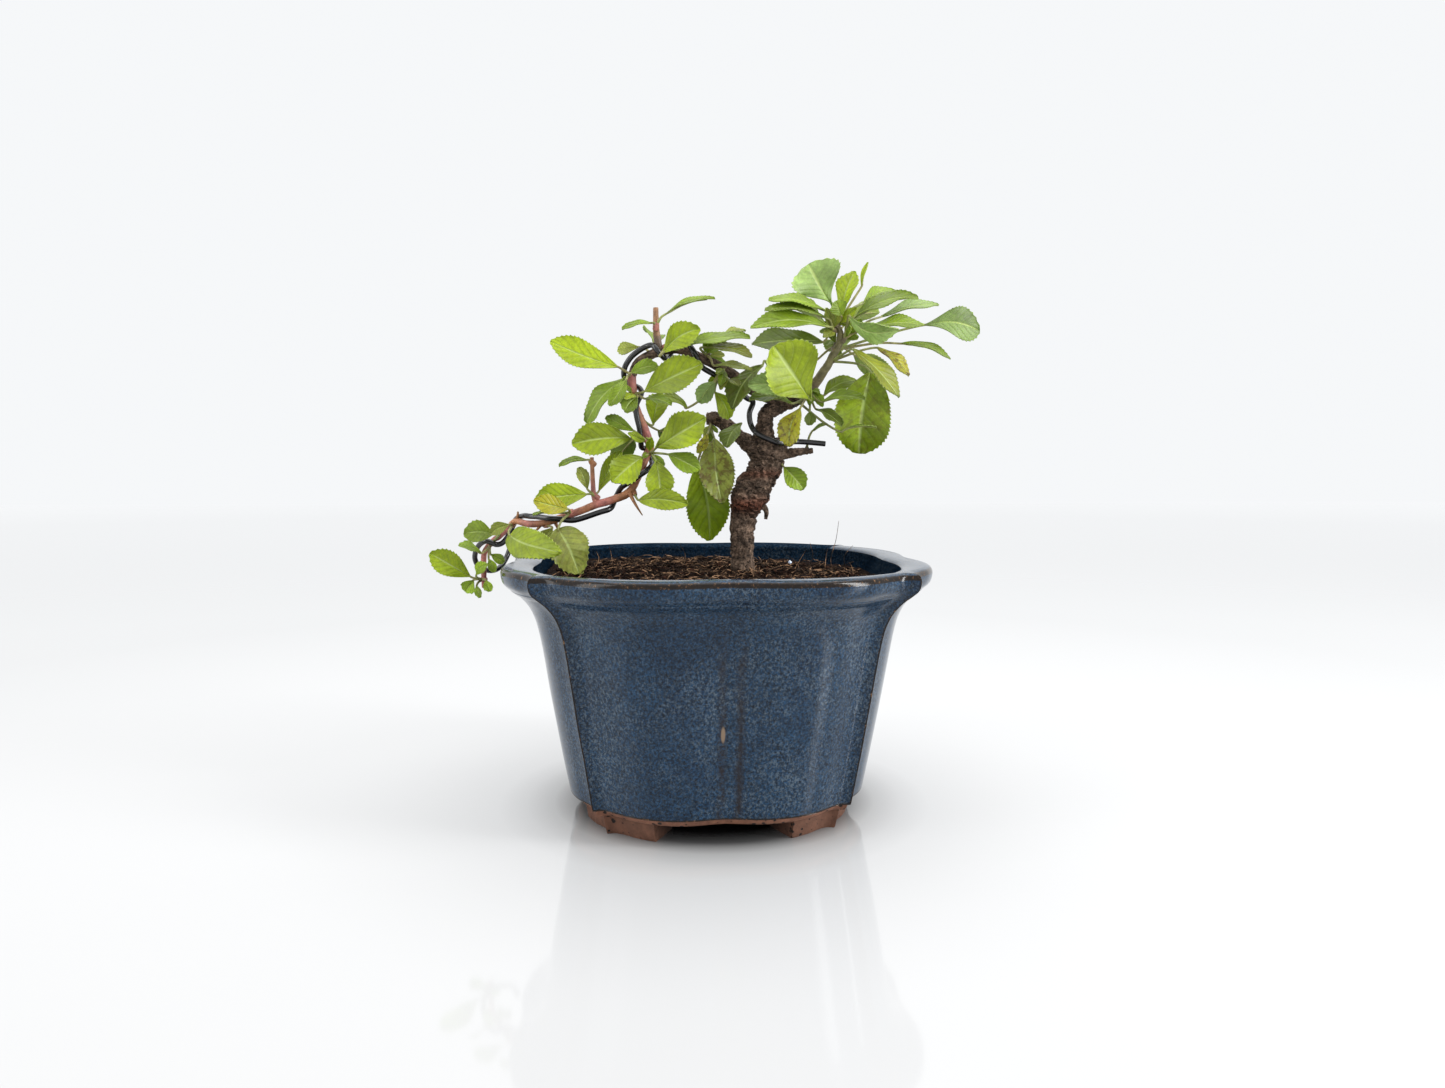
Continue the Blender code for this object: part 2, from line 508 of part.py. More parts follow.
# Leaves: for each shoot its place on the wood and its leaves. A leaf is
# (base x, z, depth), (tip x, z, depth), width, the way its upper face looks.
FRONT = Vector((0, -1, 0.3))
UP = Vector((0, -0.55, 1))
FLAT = Vector((0, -0.12, 1))
BACK = Vector((0, 0.9, 0.7))
LEFT = Vector((-0.7, -0.8, 0.4))
RIGHT = Vector((0.7, -0.8, 0.4))
SAG = Vector((0, -0.8, -1))
TILT = Vector((0, -1, 1))
SHOOTS = {
    "shoot_shoulder": ((-29.8, 152.6, -6.5), (
        ((-34.2, 155.4, -10), (-58.7, 164.6, -14), 9.8, FRONT),
        ((-31.6, 151.9, -8), (-46.1, 135.4, -5), 9.0, LEFT),
        ((-31.4, 151.2, -12), (-37.8, 141.6, -16), 5.0, FRONT),
        ((-30.2, 153.2, -11), (-20.2, 156.0, -12), 5.4, FRONT))),
    "shoot_stub": ((-20.6, 169.8, -7.2), (
        ((-22.0, 171.3, -8), (-33.0, 168.9, -9), 4.6, UP),
        ((-17.6, 174.2, -8), (0.4, 179.8, -9), 4.6, UP))),
    "shoot_arch": ((-17.4, 162.2, -7.4), (
        ((-18.4, 160.4, -14.5), (-5.0, 169.2, -18), 9.2, FRONT),
        ((-13.6, 161.8, -13), (13.0, 166.0, -10), 8.6, UP))),
    "shoot_descent": ((-28.9, 146.0, -7.5), (
        ((-25.4, 146.6, -11), (-4.3, 156.5, -17), 12.0, FRONT),
        ((-27.6, 144.6, -12), (-32.2, 139.6, -16), 6.2, FRONT),
        ((-25.2, 144.4, -10.5), (-15.2, 142.0, -13), 6.0, UP))),
    "shoot_bend": ((-24.0, 128.6, -6.0), (
        ((-29.7, 130.0, -9), (-51.4, 127.9, -13), 11.5, FRONT),
        ((-28.6, 132.4, -9), (-39.1, 137.6, -6), 4.6, LEFT))),
    "shoot_crook": ((-23.2, 124.6, -5.6), (
        ((-25.6, 123.4, -9.5), (-36.9, 114.1, -15), 10.5, FRONT),
        ((-20.9, 121.9, -9), (-19.0, 108.3, -12), 9.8, FRONT),
        ((-16.7, 124.2, -10), (-5.1, 118.5, -14), 7.2, FRONT),
        ((-21.0, 126.4, -10.5), (-2.9, 137.2, -16), 12.2, FRONT))),
    "shoot_thorn": ((-28.9, 110.0, -8.3), (
        ((-27.4, 107.6, -12), (-9.4, 106.1, -16), 7.4, FRONT),)),
    "shoot_twig_top": ((-44.1, 121.0, -8), (
        ((-45.6, 122.4, -9), (-56.2, 119.9, -11), 3.8, UP),)),
    "shoot_twig_foot": ((-42.9, 108.9, -9.6), (
        ((-45.8, 111.4, -11.5), (-49.0, 119.5, -12), 4.2, FRONT),
        ((-42.0, 110.6, -7.5), (-33.6, 125.2, -2), 6.0, FRONT),
        ((-45.8, 109.8, -12.5), (-64.8, 107.8, -15), 9.4, FRONT))),
    "shoot_rim": ((-52.2, 103.0, -10.6), (
        ((-52.6, 104.2, -18), (-65.5, 107.4, -24), 6.8, FRONT),
        ((-56.6, 97.0, -19), (-49.2, 80.6, -29), 13.4, FRONT),
        ((-57.8, 103.2, -14), (-65.9, 102.2, -17), 3.0, FLAT))),
    "shoot_rim_low": ((-61.0, 98.4, -8.6), (
        ((-58.8, 97.4, -12), (-62.6, 92.0, -14), 5.2, FRONT),)),
    "shoot_over_rim": ((-73.2, 98.4, -4.2), (
        ((-74.4, 98.8, -7), (-81.4, 95.4, -9), 4.6, FRONT),
        ((-74.6, 94.9, -15), (-56.1, 88.6, -35), 10.8, FRONT))),
    "shoot_hook": ((-81.4, 91.4, 6.8), (
        ((-79.8, 95.2, -1), (-91.2, 95.4, -5), 8.0, FRONT),
        ((-84.8, 88.4, 1.4), (-93.0, 91.4, -2), 5.4, UP),
        ((-81.4, 87.8, 4), (-76.6, 84.8, 4), 3.6, FRONT),
        ((-82.2, 86.2, 2), (-80.2, 81.2, 0.5), 3.2, FRONT))),
    "shoot_tip": ((-84.4, 78.6, 7.4), (
        ((-88.7, 79.5, 3), (-103.6, 88.3, -1), 9.0, FRONT),
        ((-87.0, 80.2, 0.5), (-82.8, 84.4, -4), 4.2, FRONT),
        ((-87.9, 78.4, 7), (-91.2, 74.2, 7), 5.6, FRONT),
        ((-86.8, 76.4, 4), (-85.6, 72.0, 1), 2.6, FRONT),
        ((-83.4, 78.4, 3), (-81.8, 74.2, 1), 3.4, FRONT))),
    "shoot_span": ((-2.6, 159.4, -4.8), (
        ((2.5, 166.4, 2), (11.4, 168.4, 5), 4.4, UP),
        ((-3.0, 162.6, -10.5), (13.8, 159.2, -12.5), 8.2, UP),
        ((-0.2, 156.2, -10.5), (13.8, 154.0, -12), 5.0, UP))),
    "shoot_under_span": ((3.4, 155.2, -5.4), (
        ((0.6, 150.4, -9), (-5.4, 142.6, -9), 6.4, FRONT),
        ((5.4, 151.2, -10), (9.2, 148.8, -13), 3.6, UP),
        ((0.4, 146.6, -5), (5.6, 137.0, -1), 7.0, FRONT),
        ((-9.4, 141.0, -7), (-18.4, 145.4, -6), 5.6, UP))),
    "shoot_left_limb": ((-1.0, 135.2, 13.4), (
        ((-2.2, 131.8, 8), (-6.0, 124.6, 5), 3.6, FRONT),
        ((0.2, 129.8, 9.5), (3.0, 106.4, 2), 12.0, FRONT),
        ((-6.2, 119.8, 14.6), (-1.6, 92.8, 15), 15.0, FRONT))),
    "shoot_fork": ((8.4, 132.2, 8), (
        ((9.8, 135.4, 1), (4.4, 126.8, -4), 8.4, LEFT),)),
    "shoot_purple": ((24.4, 145.2, 2.6), (
        ((17.4, 156.2, -4), (6.6, 140.6, -9), 10.8, LEFT),)),
    "shoot_crown_top": ((44.2, 170.6, 3.4), (
        ((42.5, 177.0, 7.5), (33.8, 191.8, 6.5), 18.0, FRONT),
        ((45.4, 175.4, 1), (50.2, 189.3, 0), 8.6, LEFT),
        ((52.6, 183.8, 5), (55.0, 192.4, 6), 1.8, LEFT),
        ((53.4, 178.2, 8), (64.4, 182.6, 14), 7.6, UP),
        ((45.8, 173.4, -3), (43.8, 178.8, -5), 6.6, FRONT))),
    "shoot_crown_left": ((42.8, 168.4, 2.6), (
        ((41.0, 174.9, -1), (19.6, 179.4, -3), 9.0, UP),
        ((41.2, 172.6, -3), (18.2, 175.6, -6), 8.0, UP),
        ((41.4, 169.8, -5), (13.2, 169.6, -10), 9.6, TILT),
        ((39.4, 164.6, 1), (13.6, 163.6, 6), 11.6, TILT))),
    "shoot_crown_right": ((46.6, 165.2, 3.4), (
        ((48.2, 173.4, -4), (66.2, 168.4, -9), 9.0, SAG),
        ((49.4, 172.2, 1), (73.0, 180.4, 2), 10.0, UP),
        ((60.0, 173.4, 9), (80.4, 177.4, 13), 8.6, UP),
        ((54.0, 168.6, 0), (75.4, 170.4, -2), 11.0, UP))),
    "shoot_far_right": ((43.6, 161.4, 4), (
        ((74.6, 170.2, 5), (95.3, 168.4, 7), 11.6, FRONT),
        ((67.0, 163.9, 5), (85.1, 158.4, 4), 6.6, UP))),
    "shoot_hanging_right": ((42.2, 157.4, 4), (
        ((58.6, 162.4, -1), (70.2, 152.2, -3), 7.6, RIGHT),
        ((49.8, 161.8, -5), (66.8, 144.6, -10), 11.0, RIGHT),
        ((56.4, 153.6, 4.5), (52.6, 124.3, 8), 18.6, FRONT))),
    "shoot_front": ((34.6, 147.4, 3.6), (
        ((34.8, 143.6, -7), (21.6, 162.8, -17), 18.4, FRONT),
        ((32.6, 146.2, -6), (12.4, 149.2, -14), 9.0, FRONT),
        ((28.8, 142.6, -4), (12.7, 143.6, -9), 7.6, UP),
        ((36.6, 140.8, 0), (46.4, 134.4, -3), 6.4, UP),
        ((38.4, 143.2, -3), (54.4, 144.0, -6), 8.0, UP),
        ((39.4, 145.4, 2), (51.4, 150.8, 9), 9.0, UP),
        ((31.2, 141.2, -6), (27.2, 126.8, -10), 9.6, LEFT),
        ((34.6, 139.6, -1.5), (34.4, 134.6, -3), 4.2, FRONT))),
    "shoot_thin": ((29.4, 143.8, 3.4), (
        ((45.2, 132.6, -4), (58.8, 134.0, -8), 2.6, FLAT),)),
    "shoot_trunk": ((23.6, 121.6, 4), (
        ((25.2, 119.8, 3), (32.7, 111.6, 0), 8.0, FRONT),)),
    "shoot_stub_end": ((33.4, 125.6, 4.2), (
        ((35.4, 132.6, 6), (41.0, 135.2, 6), 1.8, UP),)),
    "shoot_crown_back": ((44.0, 163.4, 5.4), (
        ((47.0, 171.0, 14), (59.0, 175.0, 31), 9.0, BACK),
        ((40.0, 171.0, 14), (29.0, 176.0, 30), 9.0, BACK),
        ((44.0, 166.0, 15), (45.0, 160.0, 34), 10.0, BACK),
        ((50.0, 160.0, 12), (64.0, 151.0, 24), 9.0, BACK),
        ((37.0, 158.0, 12), (26.0, 151.0, 26), 8.0, BACK))),
    "shoot_arch_back": ((-22.2, 159.8, -4.2), (
        ((-27.0, 162.6, 0), (-34.6, 161.6, 4), 4.8, FRONT),
        ((-21.6, 164.0, 4), (-24.0, 168.0, 20), 8.0, BACK),
        ((-16.6, 159.4, 4), (-8.0, 152.0, 17), 8.0, BACK))),
    "shoot_bend_back": ((-26.2, 137.2, -3.4), (
        ((-28.6, 130.0, 6), (-36.0, 121.0, 18), 8.4, BACK),
        ((-22.0, 134.8, 3), (-19.0, 146.0, 9), 8.0, FRONT),
        ((-20.4, 133.0, 9), (-10.0, 128.0, 20), 8.4, BACK))),
}


def make_wire(look, grown=0.0):
    """One length of wire. Grown, it is the cutter that clears the shoots."""
    rows, radii = wood_path(CASCADE, 4)
    path = [seen(*p) for p in WIRE_START]
    turns = curve_through([(place, angle, 0) for place, angle in WIRE_TURNS], 3)
    for turn in turns:
        place = turn.x * 4
        i = min(int(place), len(rows) - 2)
        centre = rows[i].lerp(rows[i + 1], place - i)
        along = (rows[min(i + 2, len(rows) - 1)] - rows[max(i - 1, 0)]).normalized()
        front = Vector((0, -1, 0))
        front = (front - along * front.dot(along)).normalized()
        above = along.cross(front)
        angle = math.radians(turn.y)
        reach = radii[i] * (1 + WOOD_RELIEF) + WIRE_RADIUS + 1.5 * GAP
        path.append(centre + (front * math.cos(angle) + above * math.sin(angle)) * reach)
    path += [seen(*p) for p in WIRE_END]
    start = curve_through(path[:len(WIRE_START)], 2)[:-1]
    end = curve_through(path[-len(WIRE_END) - 1:], 2)[1:]
    path = start + path[len(WIRE_START) - 1:-len(WIRE_END)] + end
    return make_tube("training_wire", path, [WIRE_RADIUS + grown] * len(path), WIRE_SIDES, look)


def half_width(t):
    """A leaf's half width at a share of its length, as a share of its widest."""
    return math.sin(math.pi * t ** BLADE_SKEW) ** BLADE_FULLNESS if 0 < t < 1 else 0.0


def stalk_ring(point, heading, over):
    """A six-sided section of a leaf stalk, square to its heading, wound as the blade's end is."""
    beside = heading.cross(over)
    return [point + (beside * a + over * b) * STALK_RADIUS for a, b in STALK_SECTION]


def make_leaf(root, base, tip, width, face, lean, look):
    """One thin toothed blade, folded a little along its rib and arched from base to tip, on its stalk."""
    length = (tip - base).length
    along = (tip - base).normalized()
    up = (face - along * face.dot(along)).normalized()
    across = along.cross(up)
    spans = 4 if length > LONG_LEAF else 3 if length > SHORT_LEAF else 2
    arch = SAG_ARCH if face is SAG else ARCH
    rib = []
    left = []
    right = []
    for k in range(2 * spans + 1):
        t = k / (2 * spans)
        middle = base + along * (length * t) + up * (arch * length * math.sin(math.pi * t))
        if k % 2 == 0:
            rib.append(middle)
        reach = 0.54 * width * max(half_width(t), 0.12)
        tooth = 1.0 if k % 2 else 0.9
        edge = middle + up * (FOLD * reach) + along * (0.02 * length * (k % 2))
        left.append(edge + across * reach * tooth)
        right.append(edge - across * reach * tooth)
    top = rib + left + right
    count = len(top)
    vertices = top + [p - up * BLADE for p in top]
    n = len(rib)
    m = len(left)
    faces = []
    for start in (n, n + m):
        for i in range(spans):
            e = start + 2 * i
            faces += [(i, e, e + 1), (i, e + 1, i + 1), (i + 1, e + 1, e + 2)]
    faces += [tuple(v + count for v in f) for f in faces]
    rim = list(range(n, n + m)) + [n - 1] + list(range(n + 2 * m - 1, n + m - 1, -1))
    for a, b in zip(rim, rim[1:]):
        faces.append((a, b, b + count, a + count))
    ring = [n, 0, n + m, n + m + count, count, n + count]
    bend = root.lerp(base, 0.55) + (base - root).length * 0.12 * (lean - along * 0.5)
    if along.dot((base - root).normalized()) < 0:
        bend = base - (along + up * 0.6) * HOOKED_STALK
    heading = along
    over = up
    for point, ahead in ((bend, base), (root, bend)):
        turned = (ahead - point).normalized()
        over = heading.rotation_difference(turned) @ over
        heading = turned
        fresh = list(range(len(vertices), len(vertices) + len(ring)))
        vertices += stalk_ring(point, heading, over)
        for k in range(len(ring)):
            following = (k + 1) % len(ring)
            faces.append((ring[k], ring[following], fresh[following], fresh[k]))
        ring = fresh
    faces.append(tuple(ring))
    return add_object("leaf", vertices, faces, look)


def make_shoot(name, root, leaves, cutters, look):
    """A spur seated on the wood, with its stalked leaves, joined in one body."""
    root = seen(*root)
    ends = [(seen(*base), seen(*tip)) for base, tip, width, face in leaves]
    lean = sum((base - root for base, tip in ends), Vector()).normalized()
    spur = [root - lean * SPUR_REACH, root + lean * SPUR_REACH]
    pieces = [make_tube("spur", spur, [SPUR_RADIUS, 0.8 * SPUR_RADIUS], TWIG_SIDES, look)]
    for place, ((base, tip), row) in enumerate(zip(ends, leaves)):
        inner_end = root - lean * STALK_STEP * place
        pieces.append(make_leaf(inner_end, base, tip, row[2], row[3], lean, look))
    shoot = join_all(name, pieces, look)
    for cutter in cutters:
        apply_boolean(shoot, "DIFFERENCE", operand=cutter)
    keep_largest(shoot)
    flatten(shoot)
    return shoot


def make_leaves(look, cutters):
    for name, (root, leaves) in SHOOTS.items():
        make_shoot(name, root, leaves, cutters, look)


def centre_all():
    """Move everything together so that the origin lies under the middle of the whole object."""
    places = [v.co for item in bpy.data.objects for v in item.data.vertices]
    low = Vector([min(p[k] for p in places) for k in range(3)])
    high = Vector([max(p[k] for p in places) for k in range(3)])
    middle = Vector(((low.x + high.x) / 2, (low.y + high.y) / 2, low.z))
    for item in bpy.data.objects:
        item.data.transform(Matrix.Translation(-middle))


def main():
    clear_scene()
    looks = {name: material(name) for name in COLOURS}
    make_pot(looks["pot"])
    wood, foot = make_wood(looks["wood"])
    make_soil(looks["soil"], foot)
    make_wire(looks["training_wire"])
    make_drain_mesh(looks["drain_mesh"])
    cutters = [make_wood(looks["wood"], GAP)[0], make_wire(looks["training_wire"], GAP)]
    make_leaves(looks["leaf"], cutters)
    for cutter in cutters:
        bpy.data.objects.remove(cutter)
    centre_all()


main()
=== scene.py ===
"""Looks of a potted firethorn bonsai: glazed pot, soil, bark, wire and leaves, with a plain stage.

Sizes are in millimetres from the middle of the pot, on the ground. The pot's place in the frame
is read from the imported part, so everything here follows it.
"""

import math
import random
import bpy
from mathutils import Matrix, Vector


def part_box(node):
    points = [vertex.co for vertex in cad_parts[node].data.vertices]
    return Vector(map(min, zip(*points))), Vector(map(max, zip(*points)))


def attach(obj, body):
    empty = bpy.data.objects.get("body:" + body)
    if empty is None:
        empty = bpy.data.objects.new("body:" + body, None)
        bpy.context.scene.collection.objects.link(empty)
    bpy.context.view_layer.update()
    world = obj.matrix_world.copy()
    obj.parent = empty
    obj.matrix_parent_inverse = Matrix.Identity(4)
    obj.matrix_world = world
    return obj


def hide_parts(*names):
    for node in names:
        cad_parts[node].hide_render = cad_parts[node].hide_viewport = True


bl_info = {
    "name": "Potted firethorn bonsai",
    "version": (1, 0, 0),
    "blender": (4, 5, 0),
    "location": "View3D > Sidebar > Bonsai",
    "description": "Builds a wired firethorn bonsai in a lobed glazed pot, with a studio stage",
    "category": "Object",
}

import bmesh
import bpy
from mathutils import Matrix, Vector, noise

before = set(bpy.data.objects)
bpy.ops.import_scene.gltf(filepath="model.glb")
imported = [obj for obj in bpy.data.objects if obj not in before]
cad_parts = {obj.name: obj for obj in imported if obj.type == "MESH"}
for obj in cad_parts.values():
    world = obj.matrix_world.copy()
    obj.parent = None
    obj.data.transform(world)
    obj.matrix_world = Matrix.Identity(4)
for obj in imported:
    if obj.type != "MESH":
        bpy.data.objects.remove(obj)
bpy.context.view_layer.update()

MM = 0.001
POT_LOW, POT_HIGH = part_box("pot")

# Pot, from the ground up
RIM_HALF_WIDTH = 78.0
RIM_TOP = 86.5
GLAZE_FOOT = 7.7
CLAY_FOOT = 5.4
FLOOR_TOP = 14.0
FLOOR_UNDER = 6.4
DRAIN_RADIUS = 7.0
SIDE_STEPS = 34
OUTER_HALF_SIDE = ((0, 75.6), (6, 76.4), (19, 78.0), (32, 75.6), (43, 70.0), (51, 63.2), (56, 60.0),
                   (60.5, 60.5))
INNER_HALF_SIDE = ((0, 65.3), (8, 65.8), (18, 66.2), (30, 64.2), (40, 60.2), (47, 55.8), (52, 52))
# The two ends bulge less than the front and the back: the share of the bulge that they keep
END_BULGE = 0.77
# The feet reach a little below the height that the rest is measured from
FOOT_BOTTOM = -1.5
UNDERSIDE = ((FLOOR_UNDER, 0.6), (CLAY_FOOT, 0.645), (CLAY_FOOT, 0.668), (CLAY_FOOT + 1, 0.682),
             (GLAZE_FOOT - 0.3, 0.688))
OUTER_WALL = ((GLAZE_FOOT, 0.703), (10.5, 0.712), (36, 0.774), (62, 0.832), (71, 0.868), (76, 0.915),
              (79, 0.962), (81, 0.99), (83.5, 1.0), (85.2, 0.997), (86.1, 0.986), (RIM_TOP, 0.968))
INNER_WALL = ((RIM_TOP - 0.35, 1.03), (RIM_TOP - 0.75, 1.012), (RIM_TOP - 1.6, 1.0), (82, 0.985),
              (74, 0.928), (66, 0.885), (60, 0.865), (FLOOR_TOP, 0.7))
STEP_LINES = (77.2, 78.6)
STEP_HEIGHT = 0.3
FOOT_WALL = ((FOOT_BOTTOM, 0.63, 0.47), (FOOT_BOTTOM + 0.6, 0.635, 0.465), (CLAY_FOOT - 1.5, 0.648, 0.46),
             (CLAY_FOOT + 1.6, 0.652, 0.46))
FOOT_SHARE = 0.5

POT_MIDDLE = Vector(((POT_LOW[0] + POT_HIGH[0]) / 2, (POT_LOW[1] + POT_HIGH[1]) / 2, -FOOT_BOTTOM * MM))

# Soil
SOIL_EDGE = 80.5
SOIL_LUMP = 0.9
SOIL_CLEARANCE = 0.95
SOIL_FINE = 0.55
SOIL_RINGS = 34
SOIL_SIDE_STEPS = 14
SOIL_UNDER = 60
SOIL_SINK = 0.2

# Crumbs and fibres: how far under the soil's edge and out from the middle they may lie, the long
# fibres' share, the copies' sizes and turns, and (wander, noise scale) of their points
LITTER_DROP = 6
LITTER_REACH = 57
LONG_SHARE = 0.22
COPY_SIZES = (0.25, 1.0)
WHOLE_TURN = 6.3
CRUMB_WANDER = (2.2, 900)
FIBRE_WANDER = (3.5, 260)
FIBRE_BOW = {"Resolution": 9, "Start": (-0.5, 0, 0), "Middle": (0.05, 0.3, 0.16), "End": (0.5, -0.08, 0.03)}
HAIRS = (((43.6, 81.5, 8), (42.6, 86, 8), (44.4, 93, 8), (45.4, 100, 7)),
         ((40.5, 83, 8), (41, 88, 8), (41.7, 91, 8)),
         ((48, 82, 10), (47.5, 87, 9), (50.5, 91, 9)),
         ((29.5, 82.5, 0), (31.5, 86, 0), (33.6, 89.5, -1)),
         ((31.0, 82.5, 0), (30.0, 85, 0), (26.4, 87.5, -1)),
         ((34, 82, -4), (36, 87, -4), (35, 92, -5)),
         ((-10.5, 84, -22), (-10.6, 88, -22), (-12.5, 91.5, -22)),
         ((-30, 82, -22), (-31, 86, -22), (-29, 88, -23)),
         ((-37, 84, -12), (-37.5, 88, -12), (-38.3, 91, -12)),
         ((-44, 82, -12), (-42, 86, -12), (-43, 89, -13)),
         ((51, 80, 2), (50.4, 83, 2), (49.2, 85, 2)))
BEAD = ((27.3, 84.6, 6), (27.6, 84.9, 6), (28.2, 84.6, 6))
BEAD_RADII = (0.5, 0.8, 0.5)
BEAD_COLOUR = (0.62, 0.72, 0.88)

# The eye that the photograph gives. Rows below are points of an upright sheet through the pot's
# middle, and their depth carries them along the line of sight from this eye.
EYE = Vector((3.1, -364.5, 119.1))
TREE_TURN = math.radians(-4.4)
EYE_PITCH = math.radians(-4.32)
LENS = 25.0

# Wood: rows of (x, z, depth, radius)
TRUNK = ((10.5, 86, 7, 4.1), (10.2, 95, 7, 4.2), (10.9, 103, 7, 5.0), (12.2, 107, 6, 6.2),
         (14, 111, 6, 6.4), (16.8, 116, 5, 5.6), (18.8, 121, 5, 5.9), (19.2, 126, 5, 7.0),
         (18.7, 129.5, 5, 5.8))
RIGHT_LIMB = ((17.5, 126, 5, 4.6), (18.4, 134.5, 4, 3.0), (18.8, 138.5, 3, 2.7), (22.2, 141, 3, 2.7),
              (26.8, 143, 4, 2.8), (31.5, 145, 5, 2.3), (36, 149, 5, 1.8), (39.2, 153.5, 4, 1.6),
              (42, 158, 4, 1.45), (45.5, 165.4, 4, 1.25), (44, 171, 4, 1.0))
LEFT_LIMB = ((17, 125.5, 6, 4.2), (12, 128.5, 8, 2.9), (8.5, 131, 10, 2.4), (4.6, 134.4, 12, 2.5),
             (1.2, 136.8, 14, 2.6), (-2.4, 136.8, 15, 2.2))
FORK_STUB = ((24, 124.2, 4, 2.2), (29.5, 124.8, 3.4, 1.5), (35.8, 125.4, 3.4, 0.9))
DROP_STUB = ((17.0, 106, 4, 1.3), (19, 103.6, 4, 0.9), (18.8, 100.6, 4, 0.6))
CASCADE = ((26.8, 142.5, 4, 2.6), (15, 146.4, 0, 1.9), (6.4, 153, -3, 1.8), (-4.6, 158.6, -5, 1.7),
           (-12.3, 161.6, -6, 1.6), (-19.3, 161, -6, 1.7), (-26.7, 157.4, -6, 1.6),
           (-29.6, 152.3, -6, 1.6), (-29.3, 147.3, -6, 1.5), (-28.2, 140.8, -5, 1.5),
           (-24.9, 132.9, -4, 1.5), (-23.1, 126.4, -4, 1.5), (-24.6, 123.4, -4, 1.5),
           (-26.8, 117.7, -6, 1.4), (-30.8, 110.5, -8, 1.4), (-37, 107.6, -9, 1.4),
           (-42.5, 106, -10, 1.4), (-47.6, 104, -10, 1.3), (-53.1, 102, -10, 1.3),
           (-61.5, 99.3, -9, 1.2), (-67.4, 98.9, -8, 1.2), (-72.2, 99.8, -5, 1.1), (-75.1, 97, 0, 1.0),
           (-78.4, 94.1, 4, 1.0), (-80.2, 93, 6, 1.0), (-83.6, 88.6, 8, 1.0), (-84, 82, 8, 1.0),
           (-84, 75.6, 8, 0.9))
UPRIGHT_TWIG = ((-42.6, 106, -10, 1.0), (-43.7, 110, -9, 0.9), (-44.2, 123, -8, 0.7))
TOP_STUB = ((-19.6, 161, -6, 1.5), (-20.6, 168, -6, 1.2), (-20.8, 176.4, -6, 0.9))
THORNS = (((-30.6, 110, -9, 0.8), (-28.5, 106, -11, 0.5), (-26, 102, -12, 0.2)),
          ((-58.2, 100.6, -9.6, 0.9), (-56.4, 96.8, -8.6, 0.4), (-53.6, 95.2, -8.6, 0.2)),
          ((-62.5, 99.4, -8.6, 0.8), (-64.6, 96.6, -9, 0.4), (-67.4, 94.8, -9, 0.2)),
          ((-72, 99.6, -5, 0.7), (-71.4, 101.8, -6, 0.5), (-71.2, 103.4, -6, 0.3)))
# The trunk's root in the soil as (depth, share of the first radius), and its reddish rings
TRUNK_ROOT = ((8, 1.12), (4, 1.06), (1, 1.02))
TRUNK_SIDES = 72
LOW_RING = (1, 105.5, 2.6)
HIGH_RING = (0.6, 117, 1.6)
THORN_TIP = (0.24, 0.13, 0.05)
# The seed of the way the bark's plates bend
BARK_SEED = 7
# Wire: its two free ends, and between them its turns as (place along the rows of CASCADE, degrees turned)
WIRE_START = ((40.2, 127.9, 3), (32.2, 128.6, 2), (27.5, 128.6, -0.5), (23.5, 128.2, -3.2),
              (19.9, 129.4, -3.6), (15.6, 131.6, -2.6), (13.4, 134.6, 0), (12.8, 138.8, -0.5))
WIRE_TURNS = ((0.95, 265), (1.5, 272), (2.2, 276), (2.8, 290), (3.3, 360), (4, 450), (4.5, 560),
              (5, 690), (5.4, 800), (6.5, 815), (7.2, 850), (8.0, 960), (8.6, 1050), (9.2, 1090),
              (10, 1120), (10.8, 1165), (11.6, 1260), (12.4, 1350), (13.2, 1430), (14.1, 1530),
              (14.8, 1620), (15.4, 1700), (16.6, 1722), (17.7, 1745), (18.4, 1805), (19.4, 1875),
              (20.3, 1900), (21.0, 1960), (22, 1990), (23, 2060), (23.6, 2130))
WIRE_END = ((-83.2, 92.6, 3.4), (-86.0, 90.6, 6.4), (-87.2, 86.6, 9.5), (-85.6, 83.2, 12), (-81.6, 81.8, 14),
            (-78.2, 83.0, 17), (-75.8, 86.4, 22), (-73.9, 91.3, 24))
WIRE_RADIUS = 1.0
WIRE_CLEARANCE = 0.45
WIRE_SIDES = 16
WOOD_RELIEF = 0.06

